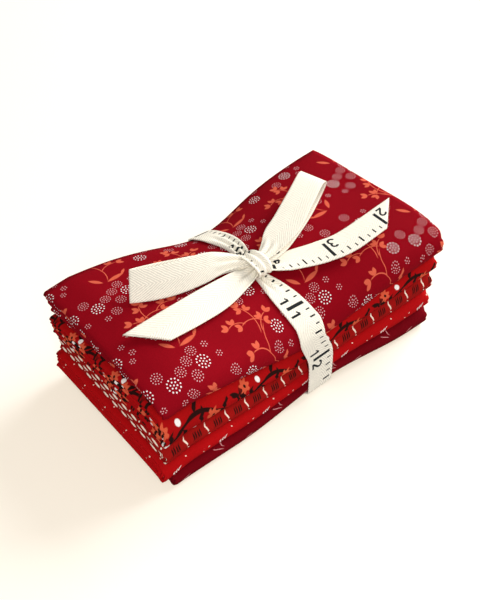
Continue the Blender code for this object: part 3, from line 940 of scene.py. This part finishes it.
# %% Bright red with dashes
DASHES = [("oval", x + step * 1.25, y + step * 0.35, 62, 2.5, 0.7)
          for x, y in ((-6.5, 3.0), (4.5, -4.4)) for step in (-1, 0, 1)]
SPECKS = [("oval", x, y, 0, 0.75, 0.75) for x, y in (
    (0.5, 3.4), (2.8, 4.2), (-2.2, -3.6), (-4.6, -4.6), (8.6, 2.4), (9.6, -1.2))]
DASH_CENTRE = (-10.0, 0.0)
RED_DASHES = cotton("red_dashes_cotton", (0.42, 0.0045, 0.006), print_of(
    (21.9, 15.0),
    (DASH_CENTRE, DASHES, 4.0, (0.88, 0.80, 0.74)),
    (DASH_CENTRE, SPECKS, 4.0, (0.86, 0.58, 0.48)),
))
print("red dashes nodes:", len(RED_DASHES.node_tree.nodes))

# %% Dark crimson with needles
NEEDLES = [("oval", x, y, turn, 4.6, 0.5) for x, y, turn in (
    (-8.0, 5.0, 35), (-6.4, 6.6, 62), (5.0, -4.0, 150), (6.8, -2.4, 118), (-11.0, -7.0, 20), (11.0, 7.5, 75))]
BURST = [("oval", -1.5 + 1.5 * math.cos(turn), 0.5 + 1.5 * math.sin(turn), math.degrees(turn), 2.2, 0.7)
         for turn in (0.4, 1.3, 2.3, 3.4)]
DARK_CRIMSON = cotton("dark_crimson_cotton", (0.155, 0.002, 0.006), print_of(
    (30.0, 24.0),
    ((0.0, 0.0), NEEDLES, 3.0, (0.62, 0.26, 0.26)),
    ((0.0, 0.0), BURST, 3.0, (0.80, 0.66, 0.62)),
))
print("dark crimson nodes:", len(DARK_CRIMSON.node_tree.nodes))

# %% Put the cottons on
COTTONS = {
    # node: the name of its cotton, its cotton and the colour of its loose threads
    "packet_1_crimson_sprigs": ("crimson_sprigs_cotton", CRIMSON_SPRIGS, (0.33, 0.004, 0.016)),
    "packet_2_red_berries": ("red_berries_cotton", RED_BERRIES, (0.50, 0.01, 0.009)),
    "packet_3_brick_hatch": ("brick_hatch_cotton", BRICK_HATCH, (0.39, 0.019, 0.009)),
    "packet_4_red_dashes": ("red_dashes_cotton", RED_DASHES, (0.56, 0.009, 0.009)),
    "packet_5_dark_crimson": ("dark_crimson_cotton", DARK_CRIMSON, (0.20, 0.004, 0.012)),
}
for node, (_, material, _) in COTTONS.items():
    SHEETS[node].data.materials.append(material)
print("cottons:", [material.name for _, material, _ in COTTONS.values()])

# %% [markdown]
# ## The twill tape
# The tape is half an inch wide, woven in two columns of slanted ribs that meet in a herringbone, and
# printed on one side with a ruler in inches. It is one long strip, so every part of it is made by the same
# function: stations along a middle line, with pleats across it where the knot gathers it.

# %% A ribbon from stations
TAPE_WIDTH = 12.7 * MM
TAPE_THICKNESS = 0.5 * MM
TAPE_CLEARANCE = 0.55 * MM
TAPE_COLUMNS = 24
CUT_ROWS = 10
PLEATS, PLEAT_START = 2.5, 0.8
MOST_PLEAT = 0.75 * MM
FLAT_UNTIL = 1.28
Station = collections.namedtuple("Station", "middle half printed")


def pleat_height(width):
    """How deep the pleats are where the tape is gathered to a width."""
    spare = max(0.0, TAPE_WIDTH / width - FLAT_UNTIL)
    return min(MOST_PLEAT, 0.9 * width / (math.pi * PLEATS) * math.sqrt(spare))


class Ribbon:
    """Collects the strips of the tape into one mesh."""

    def __init__(self):
        self.points, self.faces, self.places = [], [], []

    def add(self, stations, ruler, cut=0.0):
        """Adds a strip. A station's half points to the edge with the ticks, ruler is the reading at each."""
        first = len(self.points)
        count = TAPE_COLUMNS + 1
        for station, reading in zip(stations, ruler):
            depth = pleat_height(2.0 * station.half.length)
            for column in range(count):
                share = column / TAPE_COLUMNS
                pleat = depth * math.sin(2.0 * math.pi * PLEATS * share + PLEAT_START)
                aside = station.half * (1.0 - 2.0 * share)
                self.points.append(station.middle + aside + station.printed * pleat)
                self.places.append((TAPE_WIDTH / MM * share, reading))
        if cut:
            self.slant(stations, ruler, cut, first + (len(stations) - CUT_ROWS) * count)
        way = stations[1].middle - stations[0].middle
        outward = (-stations[0].half).cross(way).dot(stations[0].printed) > 0
        faces = grid_faces(len(stations), count, first)
        self.faces += faces if outward else [face[::-1] for face in faces]

    def slant(self, stations, ruler, cut, start):
        """Draws the last rows of a strip out on one edge and back on the other, for a slanting cut."""
        onward = (stations[-1].middle - stations[-3].middle).normalized()
        step = (ruler[-1] - ruler[-2]) / (stations[-1].middle - stations[-2].middle).length
        for here in range(start, len(self.points)):
            row, column = divmod(here - start, TAPE_COLUMNS + 1)
            shift = cut * (row + 1) / CUT_ROWS * (1.0 - 2.0 * column / TAPE_COLUMNS)
            self.points[here] = self.points[here] + onward * shift
            across, reading = self.places[here]
            self.places[here] = (across, reading + shift * step)

    def finished(self, name):
        places = [(across * MM, reading * MM) for across, reading in self.places]
        return sheet_of(name, self.points, self.faces, TAPE_MAP, places, TAPE_THICKNESS)


print("pleats at 5 mm wide:", round(pleat_height(5 * MM) / MM, 2), "mm deep")

# %% [markdown]
# The middle lines come from the same tables as the solids of the part: where the band runs round the
# stack, and where the loops and tails lie over it. A Catmull-Rom curve runs through the tables.

# %% Tables of the tie
BACK_CORNER = 1.2 * MM
FRONT_CORNER = 3.8 * MM
KNOT_CENTRE = (-3.0 * MM, -7.0 * MM, 4.1 * MM)
KNOT_HALF_SIZES = (4.3 * MM, 7.4 * MM, 3.5 * MM)
KNOT_OVERLAP = 2.0 * MM
BAND_X = (-3.0, 0.8, 0.4, 0.1, 0.6, 2.6, 4.2, 5.2, 5.8, 5.4, 1.2, -1.4, -3.0)
BAND_WIDTH = (5.0, 7.4, 9.8, 10.4, 12.7, 12.7, 12.7, 12.7, 12.7, 12.7, 12.7, 11.0, 4.4)
LEFT_LOOP = (
    # x, y, height, width, heading, tilt
    (-3.0, -5.4, 5.2, 5.0, 84, 0), (-12.5, -1.4, 6.4, 7.6, 66, 34), (-22.0, 0.4, 6.6, 11.6, 57, 46),
    (-32.6, 2.4, 6.3, 12.7, 53, 48), (-42.0, 5.6, 6.2, 12.7, 52, 49), (-50.2, 10.4, 6.1, 12.7, 52, 49),
    (-41.4, 8.6, 5.5, 12.7, 53, 46), (-31.8, 5.4, 5.1, 12.7, 54, 40), (-21.2, 2.8, 4.5, 11.6, 60, 30),
    (-12.0, 0.2, 3.8, 8.0, 72, 14), (-3.0, -6.0, 3.2, 5.0, 84, 0),
)
RIGHT_LOOP = (
    (-3.0, -6.4, 5.2, 5.0, 100, 0), (3.4, -6.2, 5.8, 6.6, 108, 4), (12.0, -3.0, 7.2, 11.6, 108, 3),
    (20.0, -0.2, 8.2, 12.7, 106, 2), (33.0, 6.4, 9.6, 12.7, 102, 1), (45.0, 13.2, 10.0, 12.7, 102, 0),
    (49.4, 15.6, 6.8, 12.7, 102, 0), (44.0, 13.4, 3.2, 12.7, 102, 0), (33.0, 7.6, 2.2, 12.7, 104, 0),
    (20.0, 1.4, 2.0, 12.0, 106, 0), (10.0, -3.6, 2.4, 9.0, 106, 0), (-3.0, -7.0, 3.2, 5.0, 100, 0),
)
LEFT_TAIL = (
    (-3.0, -8.0, 3.4, 5.0, 90, 0), (-9.5, -9.6, 3.6, 8.4, 87, 10), (-24.3, -12.2, 3.0, 12.0, 87, 18),
    (-40.4, -13.5, 2.8, 12.7, 90, 16), (-59.6, -13.4, 1.8, 12.7, 92, 6),
)
RIGHT_TAIL = (
    (-3.0, -8.6, 3.4, 5.0, 90, 0), (4.0, -11.0, 2.6, 8.4, 84, 0), (13.0, -13.2, 2.2, 11.6, 84, 3),
    (24.0, -17.0, 2.1, 12.7, 82, 3), (37.0, -19.5, 2.0, 12.7, 84, 1), (60.5, -18.2, 1.8, 12.7, 86, 0),
)
LEFT_CUT, RIGHT_CUT = 5.8 * MM, 7.4 * MM


def smooth(values, place):
    """Catmull-Rom curve through a list of equally spaced numbers."""
    index = min(int(place), len(values) - 2)
    t = place - index
    a, b, c, d = (values[min(max(index + k, 0), len(values) - 1)] for k in (-1, 0, 1, 2))
    return 0.5 * (2 * b + (c - a) * t + (2 * a - 5 * b + 4 * c - d) * t * t + (3 * b - a - 3 * c + d) * t**3)


def settle_on_stack(point):
    """Draws a point on or outside the loose stack in, keeping its clearance from the cloth."""
    inside = Vector((point.x, point.y, min(max(point.z, 0.0), stack_top(point.x, point.y))))
    return drawn_in(*inside) + Vector((0.0, 0.0, point.z - inside.z))


print("tables:", len(LEFT_LOOP) + len(RIGHT_LOOP) + len(LEFT_TAIL) + len(RIGHT_TAIL), "stations")

# %% Loops and tails
CURVE_STEPS = 9
INCH = 25.4


def way_at(middles, index):
    """Direction of a line of points at one of them."""
    return middles[min(index + 1, len(middles) - 1)] - middles[max(index - 1, 0)]


def bow_stations(table, edge, face):
    """Stations of a loop or tail. edge puts the ticks on one edge, face turns the printed side over."""
    columns = list(zip(*table))
    middles, halves = [], []
    for step in range((len(table) - 1) * CURVE_STEPS + 1):
        x, y, height, width, heading, tilt = (smooth(column, step / CURVE_STEPS) for column in columns)
        heading, tilt = math.radians(heading), math.radians(tilt)
        flat = Vector((math.cos(heading), math.sin(heading), 0.0)) * math.cos(tilt)
        halves.append((flat + Vector((0.0, 0.0, math.sin(tilt)))) * (0.5 * width * MM))
        middles.append(settle_on_stack(Vector((x * MM, y * MM, stack_top(x * MM, y * MM) + height * MM))))
    stations = []
    for index, (middle, half) in enumerate(zip(middles, halves)):
        stations.append(Station(middle, half * edge, way_at(middles, index).cross(half).normalized() * face))
    return stations


def run_of(stations):
    """Running length of a strip along its middle line."""
    return distances([station.middle for station in stations])


def readings(stations, *marks):
    """The ruler in mm at each station, straight between marks given as (mm along the strip, inches)."""
    found = []
    for length in run_of(stations):
        place = length / MM
        step = max([1] + [index for index in range(1, len(marks)) if marks[index - 1][0] <= place])
        (start, low), (end, high) = marks[step - 1], marks[step]
        found.append(INCH * (low + (high - low) * (place - start) / (end - start)))
    return found


print("stations of a tail:", len(bow_stations(RIGHT_TAIL, -1.0, 1.0)))

# %% [markdown]
# The band goes round the loose stack first and is then drawn in with it, so it lies in the waist that it
# makes. Its corners are rounded as the folds of the cloth are.

# %% The band
CORNER_STEPS = 7


def band_stations():
    out = 0.5 * STACK_WIDTH + TAPE_CLEARANCE
    under = -TAPE_CLEARANCE
    over = stack_top(TIE_X, 0.0) + TAPE_CLEARANCE
    back_start = KNOT_CENTRE[1] + KNOT_OVERLAP
    front_end = KNOT_CENTRE[1] - KNOT_OVERLAP
    back, front = out - BACK_CORNER, FRONT_CORNER - out
    path = []

    def straight(places, start, end, steps):
        for step in range(steps):
            share = step / steps
            path.append((mix(*places, share), mix(start[0], end[0], share), mix(start[1], end[1], share)))

    def corner(place, radius, centre_y, centre_z, first):
        for step in range(CORNER_STEPS):
            angle = math.radians(first - 90 * step / CORNER_STEPS)
            path.append((place, centre_y + radius * math.cos(angle), centre_z + radius * math.sin(angle)))

    straight((0, 3), (back_start, over), (back, over), 24)
    corner(3, BACK_CORNER, back, over - BACK_CORNER, 90)
    straight((3, 5), (out, over - BACK_CORNER), (out, under + BACK_CORNER), 20)
    corner(5, BACK_CORNER, back, under + BACK_CORNER, 0)
    straight((5, 7), (back, under), (front, under), 30)
    corner(7, FRONT_CORNER, front, under + FRONT_CORNER, -90)
    straight((7, 10), (-out, under + FRONT_CORNER), (-out, over - FRONT_CORNER), 24)
    corner(10, FRONT_CORNER, front, over - FRONT_CORNER, 180)
    straight((10, 12), (front, over), (front_end, over), 18)
    path.append((12, front_end, over))
    edges = []
    for place, y, z in path:
        x, half = smooth(BAND_X, place) * MM, 0.5 * smooth(BAND_WIDTH, place) * MM
        rise = stack_top(x, y) - stack_top(TIE_X, 0.0) if z > 0.5 * over else 0.0
        edges.append([settle_on_stack(Vector((x + side * half, y, z + rise))) for side in (-1.0, 1.0)])
    middles = [0.5 * (left + right) for left, right in edges]
    stations = []
    for index, (left, right) in enumerate(edges):
        half = 0.5 * (right - left)
        stations.append(Station(middles[index], half, half.cross(way_at(middles, index)).normalized()))
    return stations


BAND = band_stations()
print("band length:", round(run_of(BAND)[-1] / MM), "mm")

# %% [markdown]
# The knot is one short turn of tape over the crossing. It is gathered hard, so its pleats are deep, and it
# is a little narrower at its sides than on top.

# %% The knot
KNOT_STEPS = 48
KNOT_SIZE = 0.86
KNOT_WAIST = 0.78


def knot_stations():
    x, y, height = KNOT_CENTRE
    wide, deep, high = KNOT_HALF_SIZES
    centre = drawn_in(x, y, stack_top(x, y)) + Vector((0.0, 0.0, height))
    stations = []
    for step in range(KNOT_STEPS + 1):
        angle = 2.0 * math.pi * step / KNOT_STEPS - 0.5 * math.pi
        across, up = math.cos(angle), math.sin(angle)
        half = Vector((-wide * (KNOT_WAIST + (1.0 - KNOT_WAIST) * abs(up)), 0.0, 0.0))
        out, normal = Vector((0.0, deep * across, high * up)), Vector((0.0, across / deep, up / high))
        stations.append(Station(centre + out * KNOT_SIZE, half, normal.normalized()))
    return stations


print("knot width:", round(2 * KNOT_HALF_SIZES[0] / MM, 1), "mm")

# %% [markdown]
# Each strip says where whole inches of the ruler fall on it. The print starts afresh once, on the
# underside, where the bundle hides it.

# %% Lay the whole tape
half_way = len(BAND) // 2
band_back, band_front = BAND[: half_way + 1], BAND[half_way:]
front_start = run_of(band_back)[-1] / MM
left_tail, right_tail = bow_stations(LEFT_TAIL, 1.0, 1.0), bow_stations(RIGHT_TAIL, -1.0, 1.0)
STRIPS = (
    # stations, slant of the cut end, and marks of the ruler: mm along the strip and inches
    (band_back, 0.0, (13.0, 22), (38.4, 21)),
    (band_front, 0.0, (174.5 - front_start, 12), (201.8 - front_start, 11)),
    (bow_stations(LEFT_LOOP, 1.0, 1.0), 0.0, (64.0, 16), (89.4, 17)),
    (bow_stations(RIGHT_LOOP, 1.0, -1.0), 0.0, (78.0, 6), (103.4, 5)),
    (left_tail, LEFT_CUT, (0.0, 19.5), (25.4, 20.5)),
    (right_tail, -RIGHT_CUT, (6.5, 4), (31.4, 3), (59.8, 2)),
    (knot_stations(), 0.0, (22.0, 8.5), (47.4, 9.5)),
)
tie = Ribbon()
for stations, cut, *marks in STRIPS:
    tie.add(stations, readings(stations, *marks), cut)
TAPE = tie.finished("twill_tape")

# %% [markdown]
# ## The tape's weave and ruler
# Herringbone twill is slanted ribs that change direction from column to column. Its group paints shade
# into the colour between the ribs and between the threads, with a little random unevenness. The ruler is
# drawn from its own rule: the nearest eighth of an inch says how long a tick is, and the nearest inch says
# which number stands there. A short table of bars and rings draws each figure.

# %% The herringbone group
RIB_SLOPE, RIB_WANDER = 1.5, 0.9
RIB_HEIGHT, THREAD_HEIGHT, THREAD_PITCH = 0.36, 0.14, 0.45
# The tape's painted shade: how strongly height shades the colour, and the painted shade between ribs.
TAPE_PAINTED_SHADE = (0.42, 0.77)  # contrast, and the shade between ribs


def herringbone_group():
    group, draw, given = new_group(
        "herringbone", [("Place", "Vector", None), ("Column", "Float", 6.35), ("Rib", "Float", 1.45)],
        [("Height", "Float"), ("Shade", "Float")],
    )
    x, y, _ = draw.split(given["Place"])
    column = draw.over(x, given["Column"])
    odd = draw.math("PINGPONG", column, 1.0)
    slope = draw.times(odd, given["Column"])
    wander = draw.noise(given["Place"], 0.35, 1.0)
    ribs = draw.over(draw.linear(slope, RIB_SLOPE, y), given["Rib"])
    ribs = draw.plus(ribs, draw.times(wander, RIB_WANDER))
    rib = draw.sine(draw.times(ribs, 2.0 * math.pi))
    threads = draw.sine(draw.times(x, 2.0 * math.pi / THREAD_PITCH))
    height = draw.plus(draw.times(rib, RIB_HEIGHT), draw.times(threads, THREAD_HEIGHT))
    uneven = draw.noise(given["Place"], 1.1, 2.0)
    height = draw.plus(height, draw.linear(uneven, 0.5, 0.25))
    # Painted shade: darker between ribs and threads, and a little uneven at random.
    close_group(draw, height, draw.linear(height, *TAPE_PAINTED_SHADE))
    return group


HERRINGBONE = herringbone_group()
print("herringbone nodes:", len(HERRINGBONE.nodes))

# %% The ruler's ticks and figures
TICK_START, TICK_LENGTH, TICK_WIDTH = 1.3, 2.0, 0.55
LONGER_TICKS = (
    # every so many eighths of an inch: longer and wider, in mm
    (2, 0.7, 0.12), (4, 1.0, 0.13), (8, 5.5, 0.62),
)
FIGURE_OFF = 3.2
FIGURE_HEIGHT_PLACE = 8.7
LINE = 0.95
FIGURES = {
    0: [("ring", 0, 0, 0, 2.05, LINE, 180, 0.62)],
    1: [("bar", 0.25, 0, 90, 4.9, LINE), ("bar", -0.45, 1.75, 42, 1.7, LINE * 0.8)],
    2: [("ring", 0, 1.05, 55, 1.2, LINE, 125), ("bar", -0.15, -0.95, 48, 3.1, LINE),
        ("bar", 0, -2.1, 0, 2.9, LINE)],
    3: [("ring", -0.1, 1.15, 35, 1.1, LINE, 125), ("ring", -0.1, -1.1, -35, 1.3, LINE, 130)],
    4: [("bar", -0.45, 0.75, 58, 3.7, LINE), ("bar", 0.05, -0.85, 0, 3.1, LINE),
        ("bar", 0.65, -0.1, 90, 4.7, LINE)],
    5: [("bar", 0.1, 2.05, 0, 2.4, LINE), ("bar", -0.95, 1.15, 88, 2.0, LINE),
        ("ring", -0.1, -0.75, 5, 1.45, LINE, 135)],
    6: [("ring", 0, -1.0, 0, 1.25, LINE, 180), ("ring", 1.35, -0.6, 145, 2.75, LINE, 38)],
    7: [("bar", 0, 2.05, 0, 2.8, LINE), ("bar", 0.3, -0.2, 68, 4.6, LINE)],
    8: [("ring", 0, 1.2, 0, 1.05, LINE, 180), ("ring", 0, -1.15, 0, 1.25, LINE, 180)],
    9: [("ring", 0, 1.0, 0, 1.25, LINE, 180), ("ring", -1.35, 0.6, -35, 2.75, LINE, 38)],
}
print("figures:", sorted(FIGURES))

# %% The ruler group
def ruler_group():
    group, draw, given = new_group("inch ruler", [("Place", "Vector", None)], [("Ink", "Float")])
    across, along, _ = draw.split(given["Place"])
    eighths = draw.over(along, INCH / 8)
    mark = draw.math("ROUND", eighths)
    off = draw.times(draw.size(draw.minus(eighths, mark)), INCH / 8)
    length, width = TICK_LENGTH, TICK_WIDTH
    for step, longer, wider in LONGER_TICKS:
        part = draw.math("FRACT", draw.size(draw.over(mark, step)))
        on = draw.below(part, 0.5 / step)
        length = draw.linear(on, longer, length)
        width = draw.linear(on, wider, width)
    thick = draw.over(draw.times(off, 2.0), width)
    from_middle = draw.linear(length, -0.5, draw.minus(across, TICK_START))
    reach = draw.over(draw.size(from_middle), draw.times(length, 0.5))
    ink = draw.ink(draw.most(thick, reach), 9.0)
    inches = draw.math("ROUND", draw.over(along, INCH))
    past = draw.linear(inches, -INCH, along)
    number = draw.plus(draw.math("FLOORED_MODULO", draw.minus(inches, 1.0), 12.0), 1.0)
    two = draw.above(number, 9.5)
    after = draw.above(past, 0.0)
    first = draw.plus(draw.times(draw.minus(1.0, two), number), two)
    second = draw.minus(draw.times(two, number), draw.linear(two, 9.0, 1.0))
    figure = draw.put("Mix", (0, after), (2, first), (3, second))
    x = draw.minus(past, draw.linear(after, 2.0 * FIGURE_OFF, -FIGURE_OFF))
    y = draw.minus(FIGURE_HEIGHT_PLACE, across)
    spot = draw.put("CombineXYZ", (0, x), (1, y))
    for value, marks in FIGURES.items():
        chosen = draw.math("COMPARE", figure, float(value), 0.3)
        shape = draw.times(draw.ink(draw.nearest(spot, marks), 7.0), chosen)
        ink = draw.most(ink, shape)
    close_group(draw, ink)
    return group


RULER = ruler_group()
print("ruler nodes:", len(RULER.nodes))

# %% Materials of the tape
IVORY = (0.86, 0.81, 0.69)
BLACK_INK = (0.014, 0.016, 0.018)
TAPE_BUMP, TAPE_RELIEF = 0.5, 0.16 * MM


def tape_material(name, printed):
    material, shader = new_material(name, Specular_IOR_Level=0.12)
    draw = Drawing(material.node_tree)
    place = draw.scaled(draw.put("UVMap", uv_map=TAPE_MAP), 1.0 / MM)
    weave = draw.group(HERRINGBONE, Place=place)
    colour = draw.blend(draw.noise(place, 0.16, 2.0), rgba(IVORY, 0.94), rgba(IVORY, 1.05))
    if printed:
        colour = draw.blend(draw.group(RULER, Place=place)["Ink"], colour, rgba(BLACK_INK))
    # The herringbone's painted shade darkens the colour between ribs and threads.
    draw.feed(
        shader,
        ("Base Color", draw.scaled(colour, weave["Shade"])),
        ("Roughness", draw.linear(weave["Height"], -0.1, 0.93)),
        ("Normal", draw.put("Bump", (0, TAPE_BUMP), (1, TAPE_RELIEF), (3, weave["Height"]))),
    )
    return material


TAPE.data.materials.append(tape_material("ruler_side", True))
TAPE.data.materials.append(tape_material("plain_side", False))
TAPE.modifiers[0].material_offset = 1
TAPE.modifiers[0].material_offset_rim = 1
print("tape faces:", len(TAPE.data.polygons))

# %% [markdown]
# ## Loose threads
# Raw edges of cotton and the cut ends of the tape shed a few short threads. Each is a thin bent tube, and
# hundreds are alike, so a small Geometry Nodes tree sets one on each chosen point of a raw edge, turned
# and scaled at random from a fixed seed.

# %% Threads with Geometry Nodes
SHORTEST = 0.35


def thread_tree():
    tree, draw, given = new_group(
        "loose threads",
        [("Geometry", "Geometry", None), ("Thread length", "Float", 1.2 * MM),
         ("Thread radius", "Float", 0.06 * MM), ("Spread", "Float", 0.7), ("Seed", "Int", 1),
         ("Material", "Material", None)],
        [("Geometry", "Geometry")], "GeometryNodeTree",
    )
    end = draw.put("CombineXYZ", ("Z", given["Thread length"]))
    bend = draw.vector("MULTIPLY_ADD", end, (0.0, 0.0, 0.6), (0.25 * MM, 0.0, 0.0))
    line = draw.put("GeometryNodeCurvePrimitiveBezierSegment", ("Resolution", 3),
                    ("Start", (0.0, 0.0, -0.2 * MM)), ("Start Handle", bend),
                    ("End Handle", end), ("End", end))
    ring = draw.put("GeometryNodeCurvePrimitiveCircle", ("Resolution", 3), ("Radius", given["Thread radius"]))
    tube = draw.put("GeometryNodeCurveToMesh", ("Curve", line), ("Profile Curve", ring), ("Fill Caps", True))
    outward = draw.put("GeometryNodeInputNamedAttribute", ("Name", "outward"), data_type="FLOAT_VECTOR")
    loose = draw.put("FunctionNodeRandomValue", (0, (-1.0, -1.0, -1.0)), (1, (1.0, 1.0, 1.0)),
                     ("Seed", given["Seed"]), data_type="FLOAT_VECTOR")
    turned = draw.vector("MULTIPLY_ADD", loose, given["Spread"], outward)
    aim = draw.put("FunctionNodeAlignRotationToVector", ("Vector", turned), axis="Z")
    size = draw.put("FunctionNodeRandomValue", (2, SHORTEST), (3, 1.0), ("Seed", given["Seed"]), out=1,
                    data_type="FLOAT")
    placed = draw.put("GeometryNodeInstanceOnPoints", ("Points", given["Geometry"]), ("Instance", tube),
                      ("Rotation", aim), ("Scale", size))
    real = draw.put("GeometryNodeRealizeInstances", (0, placed))
    close_group(draw, draw.put("GeometryNodeSetMaterial", ("Geometry", real), ("Material", given["Material"])))
    return tree, {item.name: item.identifier for item in tree.interface.items_tree if item.in_out == "INPUT"}


THREAD_TREE, THREAD_SOCKETS = thread_tree()
print("thread inputs:", list(THREAD_SOCKETS))

# %% Setting threads
def plain_thread(name, colour):
    """Cotton thread: dyed fibre with a slightly uneven tone."""
    material, shader = new_material(name, Roughness=0.9, Specular_IOR_Level=0.08)
    draw = Drawing(material.node_tree)
    tone = draw.noise(draw.put("TexCoord", out=3), 900.0, 2.0)
    light = [min(1.0, 1.3 * value) for value in colour]
    draw.feed(shader, ("Base Color", draw.blend(tone, rgba(colour, 0.7), rgba(light))))
    return material


def loose_threads(name, points, ways, material, length, seed):
    """Sets a thread on each point, and keeps only the plain mesh of the result."""
    mesh = bpy.data.meshes.new(name + "_points")
    mesh.from_pydata(points, [], [])
    kept = mesh.attributes.new("outward", "FLOAT_VECTOR", "POINT")
    for index, way in enumerate(ways):
        kept.data[index].vector = way
    holder = linked(name + "_points", mesh)
    nodes = holder.modifiers.new("Loose threads", "NODES")
    nodes.node_group = THREAD_TREE
    for label, value in (("Thread length", length), ("Seed", seed), ("Material", material)):
        nodes[THREAD_SOCKETS[label]] = value
    graph = bpy.context.evaluated_depsgraph_get()
    made = bpy.data.meshes.new_from_object(holder.evaluated_get(graph))
    bpy.data.objects.remove(holder, do_unlink=True)
    return linked(name, made)


print("shortest thread:", SHORTEST, "of the longest")

# %% Threads on the raw edges
LEFT_BARE = 1.0 / 3
THREAD_CLEAR = 1.5 * MM
CLOTH_THREAD, TAPE_THREAD = 1.1 * MM, 0.9 * MM
TAPE_END_THREADS = 30
FIRST_PICK_SEED, FIRST_THREAD_SEED, TAPE_SEED = 40, 1, 9
FRINGES = {}
for number, packet in enumerate(PACKETS):
    vertices = SHEETS[packet.node].data.vertices
    columns = len(PLIES)
    points, ways = [], []
    pick = random.Random(number + FIRST_PICK_SEED)
    for row in range(len(SECTION)):
        for column, neighbour in ((0, 1), (columns - 1, columns - 2)):
            if pick.random() < LEFT_BARE:
                continue
            edge = vertices[row * columns + column].co
            if edge.z < THREAD_CLEAR:
                continue
            points.append(edge.copy())
            ways.append((edge - vertices[row * columns + neighbour].co).normalized())
    _, _, colour = COTTONS[packet.node]
    thread = plain_thread(packet.node + "_thread", colour)
    name, seed = packet.node + "_threads", number + FIRST_THREAD_SEED
    FRINGES[packet.node] = loose_threads(name, points, ways, thread, CLOTH_THREAD, seed)
points, ways = [], []
for strip, cut in ((left_tail, LEFT_CUT), (right_tail, -RIGHT_CUT)):
    onward = (strip[-1].middle - strip[-3].middle).normalized()
    for column in range(TAPE_END_THREADS):
        side = 1 - 2 * (column + 0.5) / TAPE_END_THREADS
        points.append(strip[-1].middle + strip[-1].half * side + onward * cut * side)
        ways.append(onward)
thread = plain_thread("tape_thread", IVORY)
TAPE_THREADS = loose_threads("tape_end_threads", points, ways, thread, TAPE_THREAD, TAPE_SEED)
print("thread faces:", {name: len(fringe.data.polygons) for name, fringe in FRINGES.items()})

# %% [markdown]
# ## Attaching the pieces
# Every cloth rides on the one body and stands for its solid, which is hidden. The tape and
# its threads ride on it too, in place of the tape's solid.

# %% Attach the pieces
for number, packet in enumerate(PACKETS):
    sheet, fringe = SHEETS[packet.node], FRINGES[packet.node]
    for piece in (sheet, fringe):
        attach(piece, "root")
    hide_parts(packet.node)
for piece in (TAPE, TAPE_THREADS):
    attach(piece, "root")
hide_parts("tape_tie")
